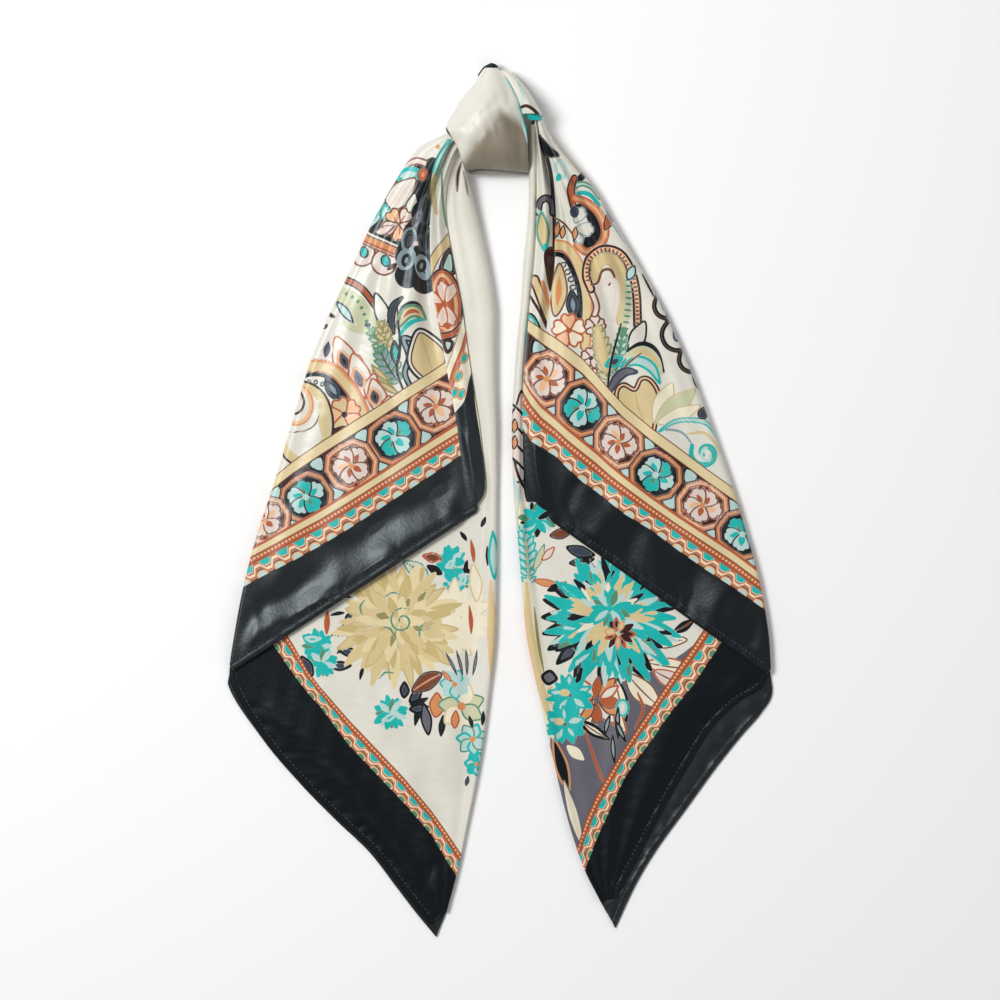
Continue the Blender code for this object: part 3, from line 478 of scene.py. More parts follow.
def drape_points(bundle, folds, creases, pleat_creases, seed):
    """Outer face of an upper drape: places, and the plan places of its print."""
    v = np.linspace(0, 1, DRAPE_ROWS)
    outer, valley, edge = (plan(bundle, name, v) for name in ("outer", "valley", "edge"))
    lip, shoulder, crown = (level(bundle, name, v) for name in ("lip", "shoulder", "crown"))
    valley_z, pleat, edge_z = (level(bundle, name, v) for name in ("valley", "pleat", "edge"))
    length = np.linalg.norm(valley - outer, axis=-1, keepdims=True)
    along = (valley - outer) / length
    radius = np.minimum(NOSE_SLOPE * (shoulder - lip), NOSE_MOST * length[..., 0])
    offset, height = nose(radius, lip, shoulder, NOSE_COLUMNS)
    fold = join(outer + along * offset[..., None], height)
    steps = np.hypot(np.diff(offset, axis=1), np.diff(height, axis=1))
    unrolled = np.cumsum(steps[:, ::-1], axis=1)[:, ::-1]
    printed = radius - np.concatenate([unrolled, np.zeros((len(v), 1))], axis=1)
    fold_print = outer + along * printed[..., None]
    w = np.linspace(0, 1, DRAPE_COLUMNS + 1)[None, 1:]
    spots = outer + along * (radius + w * (length[..., 0] - radius))[..., None]
    stops = [(0.0, shoulder), (CROWN_FROM, crown), (CROWN_TO, crown * CROWN_FALL), (1.0, valley_z)]
    w = np.repeat(w, len(v), axis=0)
    height = through(stops, w)
    hide = ease(w / FADE_OUTER) * ease((1 - w) / FADE_VALLEY)
    for *sizes, start, end in zip(*folds.values()):
        run = np.clip((v[:, None] - start) / (end - start), 0, 1)
        middle, width, rise = (sizes[i] + (sizes[i + 1] - sizes[i]) * v[:, None] for i in (0, 2, 4))
        height += hide * rise * np.exp(-((w - middle) / width) ** 2) * np.sin(np.pi * run) ** 0.5
    x, y = spots[..., 0], spots[..., 1]
    soft = chosen().ripple_height / MM
    soft = soft * (1 - BORDER_CALM * ease((v[:, None] - BORDER_FROM) / BORDER_OVER))
    fine = FINE_SHARE * ripple(y, x, seed + 1, FINE_SPAN)
    height += hide * soft * (ripple(x, y, seed, SOFT_SPAN) + fine)
    height = np.maximum(height + hide * chosen().crease_depth * creased(x, y, creases), DRAPE_LOWEST)
    body = join(spots, height)
    w = np.linspace(0, 1, PLEAT_COLUMNS + 1)[None] + np.zeros((len(v), 1))
    w[:, 0] = PLEAT_SEAM
    stops = [(0.0, valley_z), (0.5, pleat), (1.0, edge_z)]
    spots_turned = valley + (edge - valley) * w[..., None]
    x, y = spots_turned[..., 0], spots_turned[..., 1]
    bent = chosen().crease_depth * creased(x, y, pleat_creases) * ease(w / 0.2) * ease((1 - w) / 0.2)
    turn = join(spots_turned, through(stops, w) + bent)
    points = np.concatenate([fold, body, turn], axis=1)
    prints = np.concatenate([fold_print, spots, turn[..., :2]], axis=1)
    return points, prints


# The rolled hem beyond its stitch line: how far out, and how high above the cloth.
UPPER_HEM = table("out rise", [
    (0.5, -0.15), (1.1, -0.12), (1.9, 0), (2.9, 0.05), (3.9, -0.1), (4.7, -0.45), (5.2, -0.95),
    (5.5, -1.6),
])
# The hem's direction is evened out over this many steps to each side, in millimetres a step.
HEM_STEP, HEM_SPAN = 0.5, 8


def hemmed(points, prints, hem, width, shoulder, away_from):
    """Rows of a rolled hem added after the last row, outward from it in plan."""
    path = points[-1]
    run = run_along(path[:, :2])
    even = np.arange(0, run[-1], HEM_STEP)
    tangent = np.stack([np.gradient(np.interp(even, run, path[:, i])) for i in (0, 1)])
    padded = np.pad(tangent, ((0, 0), (HEM_SPAN, HEM_SPAN)), mode="edge")
    window = np.ones(2 * HEM_SPAN + 1)
    tangent = [np.interp(run, even, np.convolve(row, window, "valid")) for row in padded]
    normal = np.stack([tangent[1], -tangent[0]], axis=1)
    normal /= np.linalg.norm(normal, axis=1)[:, None]
    normal[:shoulder] = normal[shoulder + 3]
    middle = len(path) // 2
    if np.dot(normal[middle], path[middle, :2] - away_from) < 0:
        normal = -normal
    new_points, new_prints = [points], [prints]
    for out, rise in zip(*hem.values()):
        step = normal * (out * width)[:, None]
        place = join(path[:, :2] + step, path[:, 2] + rise * np.minimum(width, 1))
        new_points.append(place[None])
        new_prints.append((prints[-1] + step)[None])
    return np.concatenate(new_points), np.concatenate(new_prints)


def roll_points(bundle):
    """Outer face of the diagonal fold from beside the pleat to the inner silhouette."""
    v = np.linspace(ROLL_START, ROLL_END, ROLL_ROWS)
    edge, inner = plan(bundle, "edge", v), plan(bundle, "inner", v)
    foot, roll, crease = (level(bundle, name, v) for name in ("foot", "roll", "crease"))
    length = np.linalg.norm(inner - edge, axis=-1, keepdims=True)
    along = (inner - edge) / length
    radius = np.minimum(NOSE_SLOPE * (roll - BED), ROLL_NOSE_MOST * length[..., 0])
    rim = edge - along * ROLL_TUCK
    width = length[..., 0] + ROLL_TUCK - radius
    w = np.linspace(0, 1, ROLL_COLUMNS)[None] + np.zeros((len(v), 1))
    dip = crease * np.exp(-((w - CREASE_AT) / CREASE_WIDTH) ** 2) * ease(w / 0.2)
    height = foot + (roll - foot) * np.sin(np.pi / 2 * w) - dip
    body = join(rim + along * (w * width)[..., None], height)
    offset, height = nose(radius, BED, roll, ROLL_NOSE + 1)
    down = join(inner - along * offset[..., None], height)[:, -2::-1]
    return np.concatenate([body, down], axis=1)


def lower_points(lower, creases, seed):
    """Outer face of a lower drape: from its hem across, then up over the diagonal fold."""
    v = np.linspace(0, 1, LOWER_ROWS)
    outer, bend, inner = (plan(lower, name, v) for name in ("outer", "bend", "inner"))
    roll_width, roll, swell = (level(lower, name, v) for name in ("roll_width", "roll", "swell"))
    reach = np.linalg.norm(outer - bend, axis=-1, keepdims=True)
    outward = (outer - bend) / reach
    taper = np.minimum(1.0, reach / HEM_TAPER)
    start = outer - outward * (HEM_WIDTH + SEAM_GAP) * taper
    inner_length = np.linalg.norm(inner - bend, axis=-1, keepdims=True)
    along = (inner - bend) / inner_length
    roll_width = np.minimum(roll_width, ROLL_MOST * inner_length[..., 0])
    foot = inner - along * roll_width[..., None]
    first = np.linalg.norm(bend - start, axis=-1)
    path_length = first + np.linalg.norm(foot - bend, axis=-1)
    swell = swell * ease((level({"v": v}, "v", v) - WAVES_FROM) / WAVES_OVER)
    w = np.linspace(0, 1, LOWER_COLUMNS)[None] + np.zeros((len(v), 1))
    run = (w * path_length)[..., None]
    before = start + (bend - start) * run / first[..., None]
    spots = np.where(run < first[..., None], before, bend + along * (run - first[..., None]))
    height = FRONT_TOP + swell * (1 - np.cos(2 * LOWER_WAVES * np.pi * w)) / 2
    inside = run[..., 0]
    sway = ease(inside / SWAY_HEM) * ease((path_length - inside) / SWAY_FOLD)
    sway = sway * ease((v[:, None] - 0.1) / 0.1)
    x, y = spots[..., 0], spots[..., 1]
    soft = chosen().ripple_height / MM
    small = LOWER_SOFT_SHARE * (1 + ripple(x, y, seed, LOWER_SOFT))
    small = soft * (small + LOWER_FINE_SHARE * ripple(y, x, seed + 1, LOWER_FINE))
    deep = chosen().crease_depth * creased(x, y, creases)
    height = np.maximum(height + sway * (small + deep), FRONT_TOP)
    gathers = puckers(run_along(start[:, 0])[:, None] + np.zeros_like(inside), inside, seed)
    height = height + gathers * ease((v[:, None] - 0.12) / 0.06)
    body = join(spots, height)
    hem_rows = []
    for out, rise in zip(*LOWER_HEM.values()):
        spot = start + outward * out * taper
        hem_rows.append(join(spot, np.full((len(v), 1), FRONT_TOP + rise)))
    radius = np.minimum(NOSE_SLOPE * (roll - BED), LOWER_NOSE_MOST * roll_width)
    w = np.linspace(0, 1, ROLL_COLUMNS)[None, 1:] + np.zeros((len(v), 1))
    spots = foot + along * (w * (roll_width - radius))[..., None]
    rise = join(spots, FRONT_TOP + (roll - FRONT_TOP) * ease(w))
    offset, height = nose(radius, BED, roll, ROLL_NOSE + 1)
    down = join(inner - along * offset[..., None], height)[:, -2::-1]
    return np.concatenate(hem_rows[::-1] + [body, rise, down], axis=1)


LOWER_HEM = table("out rise", [
    (0.5, -0.12), (1.2, -0.1), (2, 0), (2.9, 0.02), (3.8, -0.1), (4.5, -0.35), (4.9, -0.7),
    (5, -1.1),
])


def curve(points, steps=8, closed=False):
    """A smooth line through points, given as pairs or as x, y in turn, in steps between each two."""
    points = np.array(points, float).reshape(-1, 2)
    if closed:
        padded = np.concatenate([points[-1:], points, points[:2]])
    else:
        ends = 2 * points[0] - points[1], 2 * points[-1] - points[-2]
        padded = np.concatenate([ends[:1], points, ends[1:]])
    a, b, c, d = (padded[i:len(padded) - 3 + i, None] for i in range(4))
    t = np.arange(steps)[None, :, None] / steps
    line = b + 0.5 * t * (c - a + t * (2 * a - 5 * b + 4 * c - d + t * (3 * (b - c) + d - a)))
    line = line.reshape(-1, points.shape[1])
    return line if closed else np.concatenate([line, points[-1:]])


def outline_gap(spots, outline):
    """How far each spot is outside a closed outline, negative inside it."""
    side = np.roll(outline, -1, axis=0) - outline
    to = spots[:, None] - outline
    share = np.clip((to * side).sum(2) / np.maximum((side ** 2).sum(1), 1e-9), 0, 1)
    gap = np.linalg.norm(to - share[..., None] * side, axis=2).min(1)
    below, end_below = to[..., 1] < 0, (to - side)[..., 1] < 0
    level_with = side[:, 0] * to[..., 1] / np.where(side[:, 1] == 0, 1e-9, side[:, 1])
    crossings = ((below != end_below) & (to[..., 0] < level_with)).sum(1)
    return np.where(crossings % 2 == 1, -gap, gap)


def stroke_gap(spots, path, half):
    """How far each spot is outside a stroke with its own half width at each point."""
    side = path[1:] - path[:-1]
    to = spots[:, None] - path[:-1]
    share = np.clip((to * side).sum(2) / np.maximum((side ** 2).sum(1), 1e-9), 0, 1)
    gap = np.linalg.norm(to - share[..., None] * side, axis=2)
    return (gap - half[:-1] - share * (half[1:] - half[:-1])).min(1)


class Print:
    """Inks on a stretch of cloth: how far each spot is outside each ink's shapes, in mm."""

    def __init__(self, spots, inks=None):
        self.spots = spots
        self.inks = inks or {ink: np.full(len(spots), CLEAR) for ink in INKS}

    def lay(self, layers, gap, near=slice(None)):
        """Lays (ink, grow) layers over a shape, the widest first."""
        for ink, grow in layers:
            for other, field in self.inks.items():
                if other == ink:
                    field[near] = np.minimum(field[near], gap - grow)
                else:
                    field[near] = np.maximum(field[near], np.minimum(grow - gap, CLEAR))

    def near(self, points, reach):
        low, high = points.min(0) - reach - CLEAR, points.max(0) + reach + CLEAR
        return np.flatnonzero(((self.spots > low) & (self.spots < high)).all(1))

    def fill(self, layers, outline):
        layers = inked(layers)
        near = self.near(outline, max(grow for _, grow in layers))
        if len(near):
            self.lay(layers, outline_gap(self.spots[near], outline), near)

    def line(self, layers, path, width, taper=0.0):
        """A stroke that thins towards its ends by the share taper."""
        layers, path = inked(layers), curve(path)
        share = np.linspace(-1, 1, len(path))
        half = width / 2 * (1 - taper * share ** 2)
        near = self.near(path, width / 2 + max(grow for _, grow in layers))
        if len(near):
            self.lay(layers, stroke_gap(self.spots[near], path, half), near)


def inked(text):
    """(ink, grow) layers from words such as "black:0.8 teal:0"."""
    return [(word.split(":")[0], float(word.split(":")[1])) for word in text.split()]


def placed(shape, x, y, length, width, angle, bend=0.0):
    """A unit shape that points along +X, sized, bent, turned by degrees and put at its place."""
    points = np.array(shape, float) * (length, width)
    points[:, 1] += bend * length * (points[:, 0] / length) ** 2
    turn = math.radians(angle)
    spin = np.array([[math.cos(turn), math.sin(turn)], [-math.sin(turn), math.cos(turn)]])
    return points @ spin + (x, y)


LOBED = curve([(0, 0), (0.28, 0.34), (0.62, 0.5), (0.82, 0.44), (0.86, 0.26), (0.98, 0.18), (1, 0),
               (0.98, -0.18), (0.86, -0.26), (0.82, -0.44), (0.62, -0.5), (0.28, -0.34)], 4, True)
HEART = curve([(0, 0), (0.3, 0.28), (0.65, 0.5), (0.92, 0.42), (0.99, 0.22), (0.85, 0),
               (0.99, -0.22), (0.92, -0.42), (0.65, -0.5), (0.3, -0.28)], 5, True)
NOTCHED = curve([(0, 0), (0.35, 0.32), (0.75, 0.52), (1, 0.3), (0.9, 0), (1, -0.3),
                 (0.75, -0.52), (0.35, -0.32)], 5, True)
BLADE = curve([(0, 0), (0.2, 0.34), (0.5, 0.5), (0.8, 0.3), (1, 0), (0.8, -0.3), (0.5, -0.5),
               (0.2, -0.34)], 5, True)
ROUND = curve([(math.cos(a), math.sin(a)) for a in np.linspace(0, 2 * math.pi, 9)[:-1]], 4, True) / 2


def around(x, y, reach, angle):
    """A place at reach from (x, y), at an angle in degrees."""
    turn = math.radians(angle)
    return x + reach * math.cos(turn), y + reach * math.sin(turn)


def disc(cloth, layers, x, y, long, wide=None, angle=0.0):
    cloth.fill(layers, placed(ROUND, x, y, long, wide or long, angle))


def flower(cloth, layers, x, y, reach, wide, count, turn=0.0, shape=NOTCHED, veins=None, heart=None):
    """Petals round a heart. layers may hold several kinds, parted by |, taken in turn."""
    kinds = layers.split("|")
    for i in range(count):
        angle = turn + 360 * i / count
        cloth.fill(kinds[i % len(kinds)], placed(shape, x, y, reach, wide, angle))
        if veins:
            rib = placed([(0.1, 0), (0.4, 0.04), (0.65, 0)], x, y, reach, wide, angle)
            cloth.line(veins, rib, 1.1, 0.5)
    if heart:
        disc(cloth, heart, x, y, reach * 0.36)


def bloom(cloth, layers, x, y, start, reach, wide, count, seed):
    """A ring of narrow uneven petals, laid in a mixed order. layers: kinds parted by |."""
    chance = np.random.default_rng(seed)
    kinds = layers.split("|")
    for i in chance.permutation(count):
        angle = 360 * i / count + chance.uniform(-7, 7)
        out = start * chance.uniform(0.8, 1.1)
        long, broad = reach * chance.uniform(0.82, 1.08) - out, wide * chance.uniform(0.75, 1.25)
        petal = placed(BLADE, *around(x, y, out, angle), long, broad, angle, chance.uniform(-0.14, 0.14))
        cloth.fill(kinds[i % len(kinds)], petal)


def leaf(cloth, layers, x, y, length, width, angle, bend=0.0, rib=None, shape=BLADE):
    cloth.fill(layers, placed(shape, x, y, length, width, angle, bend))
    if rib:
        line = placed([(0.05, 0), (0.35, 0), (0.65, 0), (0.9, 0)], x, y, length, width, angle, bend)
        cloth.line(rib, line, 1.2, 0.4)


def feather(cloth, layers, x, y, length, width, angle, bend=0.0, rib=None, count=6):
    """Barbs in pairs along a bent rib, the longest in the middle."""
    for i in range(count):
        share = 0.08 + 0.8 * i / (count - 1)
        size = width * (0.55 + 0.9 * math.sin(math.pi * (0.15 + 0.75 * share)) ** 1.5) / 1.45
        (root,) = placed([(share, 0)], x, y, length, 1, angle, bend)
        lean = angle + math.degrees(math.atan(2 * bend * share))
        for side in (1, -1):
            leaf(cloth, layers, *root, size * 0.62, size * 0.2 + 1.2, lean + side * (52 - 20 * share))
    leaf(cloth, layers, *placed([(0.85, 0)], x, y, length, 1, angle, bend)[0], width * 0.4,
         width * 0.16 + 1.2, angle + math.degrees(math.atan(2 * bend)))
    if rib:
        line = placed([(0, 0), (0.3, 0), (0.65, 0), (0.95, 0)], x, y, length, 1, angle, bend)
        cloth.line(rib, line, 1.3, 0.3)


def spiral(cloth, layers, x, y, reach, turns, width, angle, hand=1):
    """A curl that winds inward from its outer end."""
    share = np.linspace(0, 1, int(8 * turns) + 3)
    swing = np.radians(angle) + hand * 2 * math.pi * turns * share
    size = reach * (1 - 0.82 * share)
    path = np.stack([x + size * np.cos(swing), y + size * np.sin(swing)], axis=1)
    cloth.line(layers, path, width, 0.35)


def beads(cloth, layers, path, spacing, size, shift=0.0):
    """Round or oval drops set along a line, at right angles to it."""
    line = curve(path, 16)
    run = run_along(line)
    for place in np.arange(spacing / 2, run[-1], spacing):
        spot = np.array([np.interp(place, run, line[:, i]) for i in (0, 1)])
        ahead = np.array([np.interp(place + 0.5, run, line[:, i]) for i in (0, 1)]) - spot
        angle = math.degrees(math.atan2(ahead[1], ahead[0])) + 90
        disc(cloth, layers, *around(*spot, shift, angle), *size, angle)


def leaves(cloth, *rows):
    """Leaves laid in turn, a row of values for each."""
    for row in rows:
        leaf(cloth, *row)


def discs(cloth, *rows):
    """Discs in turn."""
    for row in rows:
        disc(cloth, *row)


def lines(cloth, *rows):
    """Strokes in turn."""
    for row in rows:
        cloth.line(*row)


def blooms(cloth, *rows):
    """Rings of petals in turn."""
    for row in rows:
        bloom(cloth, *row)


def feathers(cloth, *rows):
    """Barbed leaves in turn."""
    for row in rows:
        feather(cloth, *row)


# Medallions along the upper bands: where each centre is, and which of two kinds it is.
LEFT_MEDALLIONS = ((-47, 68, "warm"), (-77, 45, "cool"), (-108, 25, "warm"), (-141, 2, "cool"),
                   (-171, -15, "warm"), (-203, -38, "cool"))
RIGHT_MEDALLIONS = ((34, 88, "warm"), (60, 67, "cool"), (86, 42, "warm"), (113, 18, "cool"),
                    (147, -4, "warm"), (176, -25, "cool"), (205, -46, "warm"))
MEDALLION = np.array([(-1, 0.4), (-0.62, 0.92), (-0.1, 1), (0.1, 1), (0.62, 0.92), (1, 0.4),
                      (1, -0.4), (0.62, -0.92), (0.1, -1), (-0.1, -1), (-0.62, -0.92), (-1, -0.4)])
# Petals of a medallion's flower: angle, reach and width.
MEDALLION_PETALS = (
    (14, 14.5, 12.5), (84, 12.4, 12.5), (150, 13.6, 12), (216, 13.2, 12), (290, 12.6, 12.5))


def band_places(x, y, bands):
    """How far up from the trim's outer edge each plan place is."""
    lines = [np.interp(x, bands["x"], bands[name]) for name in ("edge", "dotted", "pale", "wide")]
    marks = (0.0, DOTTED_AT, PALE_AT, WIDE_AT)
    up = (y - lines[0]) * marks[1] / (lines[1] - lines[0])
    for i in (1, 2):
        share = (y - lines[i]) / (lines[i + 1] - lines[i])
        up = np.where(y > lines[i], marks[i] + share * (marks[i + 1] - marks[i]), up)
    return up


def medallion_band(cloth, up, way, bands, medallions, swing):
    """The dark band with its framed flowers."""
    along = cloth.spots @ np.array(way)
    band = Print(np.stack([along, up], axis=1), cloth.inks)
    middle = (PALE_AT + WIDE_AT) / 2
    half = (WIDE_AT - PALE_AT) / 2
    cloth.lay(inked("maroon:0"), np.abs(up - middle) - half)
    places = sorted(x * way[0] + y * way[1] for x, y, _ in medallions)
    for place in [(a + b) / 2 for a, b in zip(places, places[1:])] + [places[0] - 18.5]:
        for side in (1, -1):
            rise = middle + side * (half - 5.5)
            corner = [(place - 4.5, rise), (place + 4.5, rise), (place, rise - side * 7.5)]
            band.fill("black:2.6 mint:0.2", curve(corner, 3, True))
    for i, (x, y, kind) in enumerate(medallions):
        place = x * way[0] + y * way[1]
        rise = float(band_places(np.array([x]), np.array([y]), bands)[0])
        outline = MEDALLION * (18.2, 16.4) + (place, rise)
        frame_inks = "maroon:1.6 rust:0.4 orange:-0.6 brown:-2.0 black:-3.2"
        if kind == "warm":
            frame_inks = "maroon:1.6 rust:0.4 orange:-0.5 peach:-1.4 rust:-2.4 maroon:-3.6"
        band.fill(frame_inks, outline)
        for n, (angle, reach, wide) in enumerate(MEDALLION_PETALS):
            deep = (n + i) % 3 == 1
            turned = angle + swing * (i % 3 - 1)
            petal = placed(LOBED, place, rise, reach, wide, turned)
            root = placed(BLADE, place, rise, reach * 0.72, wide * 0.42, turned)
            if kind == "cool":
                band.fill("black:1 teal:-0.2" if deep else "black:1 mint:-0.2", petal)
                band.fill("teal:0.2 green:-1.2" if deep else "teal:0", root)
            else:
                band.fill("brown:0.9 pink:-0.3", petal)
                band.fill("peach:0.2" if deep else "rust:-0.4", root)
            if kind == "warm" and n % 2:
                spot = placed([(0.95, 0.5)], place, rise, reach, wide, turned)[0]
                disc(band, "rust:0.4 maroon:-0.8", *spot, 5, 3.4)
        disc(band, "mint:0.4" if kind == "cool" else "orange:0.4", place, rise, 3.6)


def left_field(cloth):
    """Flowers, leaves and drops above the medallions on the left."""
    cloth.fill("black:0",
        curve((-102, 196, -84, 191, -66, 184, -58, 204, -54, 226, -48, 246, -68, 243, -88, 218), 4, True))
    cloth.line("brown:0.7 pink:-0.7", (-80, 238, -70, 243, -60, 246, -50, 242), 4.4)
    disc(cloth, "teal:0 mint:-3.4", -67, 236, 20, 12, 8)
    cloth.line("black:0", (-49, 244, -52, 233, -53, 218), 9)
    discs(cloth, ("brown:1 rust:0 orange:-2.2", -56, 236, 6.5, 8), ("black:0", -50.5, 242, 4, 7, 100))
    leaves(cloth,
        ("black:0.7 teal:-0.6", -86, 213, 21, 9, 60),
        ("brown:0.8 ivory:-0.6 pink:-3.6", -86, 211, 33, 17, 36, 0.1),
        ("black:0.8 ivory:-0.6", -66, 203, 20, 9, 78),
        ("black:0.7 mint:-0.6 teal:-3.4", -99, 197, 26, 12, 56),
        ("black:0.7 teal:-0.5 mint:-2", -82, 201, 15, 9, 98))
    flower(cloth, "brown:0.8 pink:-0.6|brown:0.8 peach:-0.6", -73, 200, 12, 10, 5, 54, veins="rust:0")
    leaf(cloth, "brown:0.7 pink:-0.4", -91, 193, 15, 5, 22)
    for x, y in ((-100, 179), (-84, 172.5)):
        disc(cloth, "brown:0.9 pink:-0.6 ivory:-3", x, y, 18, 18)
        disc(cloth, "slate:0.8 teal:-0.6", x + 1, y + 1, 6, 8, 20)
    leaf(cloth, "maroon:0.2", -82, 167, 9, 3.4, 32)
    lines(cloth,
        ("black:0", (-112, 202, -97, 196, -72, 185, -58, 179), 2.2),
        ("ivory:0", (-112, 199, -97, 193.4, -72, 182.4, -58, 176.4), 2.6),
        ("brown:1.4 orange:0", (-112, 194, -97, 188.6, -72, 178, -58, 172), 5.6),
        ("rust:0", (-112, 192.4, -97, 187, -72, 176.4, -58, 170.4), 1.9))
    for x, y, size in (
            (-67, 163, 19), (-55, 158.5, 18), (-67, 178, 19), (-60, 193, 21), (-55, 208, 19), (-52, 220, 17),
            (-50, 176, 26)):
        disc(cloth, "black:0", x, y, size)
    for x, y, long, wide, angle, layers in (
            (-54, 211, 22, 9, 84, "slate:0 black:-1.4"), (-60, 204, 13, 6, 60, "grey:0 slate:-1.4"),
            (-52, 188, 18, 8, 80, "slate:0 black:-1.4"), (-68, 175, 17, 13, 62, "steel:0"),
            (-56, 169, 19, 11, 104, "steel:0 slate:-4"), (-66, 189, 18, 11, 78, "steel:0 slate:-1.5"),
            (-66, 188, 11, 6, 78, "black:0 slate:-1.6"), (-57, 187, 12, 6, 100, "slate:0 black:-1.5")):
        disc(cloth, layers, x, y, long, wide, angle)
    for x, y in ((-68, 174), (-57, 170)):
        disc(cloth, "black:1.6 steel:-1.2", x, y, 7, 4.4, 74)
    disc(cloth, "pink:0", -61, 186, 4, 3)
    lines(cloth,
        ("sage:0", (-134, 150, -116, 148, -102, 140, -95, 127), 17, 0.1),
        ("ivory:0", (-134, 156, -114, 156, -100, 149, -90, 135), 3, 0.2),
        ("maroon:0.7 rust:-0.7", (-134, 160, -114, 160, -100, 153, -88, 137), 4.4, 0.2))
    beads(cloth, "green:0", (-114, 151, -104, 145, -99, 136, -95, 124), 5.2, (3.2, 2.4))
    disc(cloth, "slate:0", -96, 127, 5, 3.6)
    leaves(cloth,
        ("slate:0.5 mint:-0.9", -119, 144, 20, 6, -46, -0.1), ("sage:0", -114, 130, 17, 6, -38, 0.1),
        ("black:1 ivory:-0.5", -82, 122, 29, 10, 102, 0.08),
        ("maroon:0.6 beige:-0.6", -80, 118, 24, 7, 84, -0.1))
    lines(cloth,
        ("black:1 slate:-0.4", (-77, 121, -79, 132, -77, 141, -71, 147), 4.5, 0.85),
        ("black:0", (-74, 130, -69, 139, -61, 141, -54, 133), 6.5, 0.75),
        ("green:0 beige:-2 rust:-3.4", (-74, 125, -68, 135, -61, 137, -54, 131), 10, 0.75),
        ("teal:0", (-74, 116, -69, 125, -62, 130, -54, 131), 3.6, 0.7))
    feathers(cloth,
        ("green:0.4 sage:-0.8", -73, 92, 38, 15, 118, 0.12, "green:0", 6),
        ("olive:0.3 beige:-0.8", -79, 104, 26, 14, 112, -0.1, None, 5),
        ("green:0.5 steel:-0.9", -72, 84, 30, 17, 132, -0.2, "slate:0", 6))
    leaf(cloth, "black:0.5 slate:-0.7 teal:-1.8", -75, 98, 18, 7, 96)
    for x, y, long, angle in ((-76, 80, 22, 148), (-80, 86, 18, 146), (-73, 77, 18, 156)):
        leaf(cloth, "olive:0.5 beige:-0.8", x, y, long, 4, angle, -0.15)
    lines(cloth,
        ("black:0", (-74, 130, -72.5, 112, -75, 95, -70, 79), 2.2, 0.3),
        ("black:1.3 steel:-0.2", (-63, 116, -70, 117, -66, 104, -69, 92, -64, 80), 2.4, 0.3))
    leaf(cloth, "black:2.2 ivory:0.4 maroon:-1 beige:-2.2", -46, 84, 41, 28, 108, 0, "mustard:0")
    spiral(cloth, "maroon:0.5 pink:-0.9", -127, 128, 8, 0.7, 2.6, 40)
    for x, y, long, wide, angle, drop in (
            (-107, 87, 34, 17, 111, 15), (-97, 74, 34, 16, 107, 15), (-86, 62, 27, 14, 104, 12)):
        leaf(cloth, "rust:0.6 ivory:-0.8", x, y, long, wide, angle)
        leaf(cloth, "rust:0.6 ivory:-0.8", x + 2, y - 2, long * 0.6, wide * 0.7, angle - 28)
        leaf(cloth, "orange:1.6 peach:0.8 rust:-0.1 slate:-1 black:-2.4", x - 3.5, y + 7, drop, 7.5, angle)
    leaf(cloth, "pink:1.2 slate:-0.4", -127, 103, 13, 6, 78)
    lines(cloth,
        ("rust:1 beige:-0.3", (-158, 92, -138, 97.5, -122, 95, -110, 83, -103, 72, -97, 58), 8),
        ("orange:0", (-158, 95.5, -137, 101, -120, 97.5, -107, 84, -100, 73, -94, 60), 1.8),
        ("black:0", (-158, 84, -138, 91, -125, 89, -115, 79, -108, 67, -104, 56), 3))
    beads(cloth, "slate:0 ivory:-1.1", (-146, 84, -136, 86, -126, 83), 5, (4, 3.4))
    leaf(cloth, "black:1 slate:-0.5 steel:-3", -126, 88, 19, 9, -58)
    flower(cloth, "rust:0.9 peach:-0.6|rust:0.9 beige:-0.6", -113, 62, 12, 11, 5, 40, heart="maroon:0.2")
    leaf(cloth, "maroon:0.6", -123, 41, 16, 10, 50)
    disc(cloth, "maroon:1.8 beige:0 ivory:-6", -143, 55, 42, 60)
    leaf(cloth, "sage:0.4 beige:-0.6", -125, 40, 34, 8, 100)
    discs(cloth,
        ("orange:1.5 peach:0 ivory:-2.2", -148, 69, 23, 28),
        ("maroon:1.6 pink:-0.4 ivory:-2.4", -150, 71, 14, 16))
    cloth.line("brown:0", (-131, 62, -135, 54, -143, 50, -156, 49), 1.4, 0.4)
    valley_stripes(cloth)
    disc(cloth, "orange:0", -45, 256, 3.4)


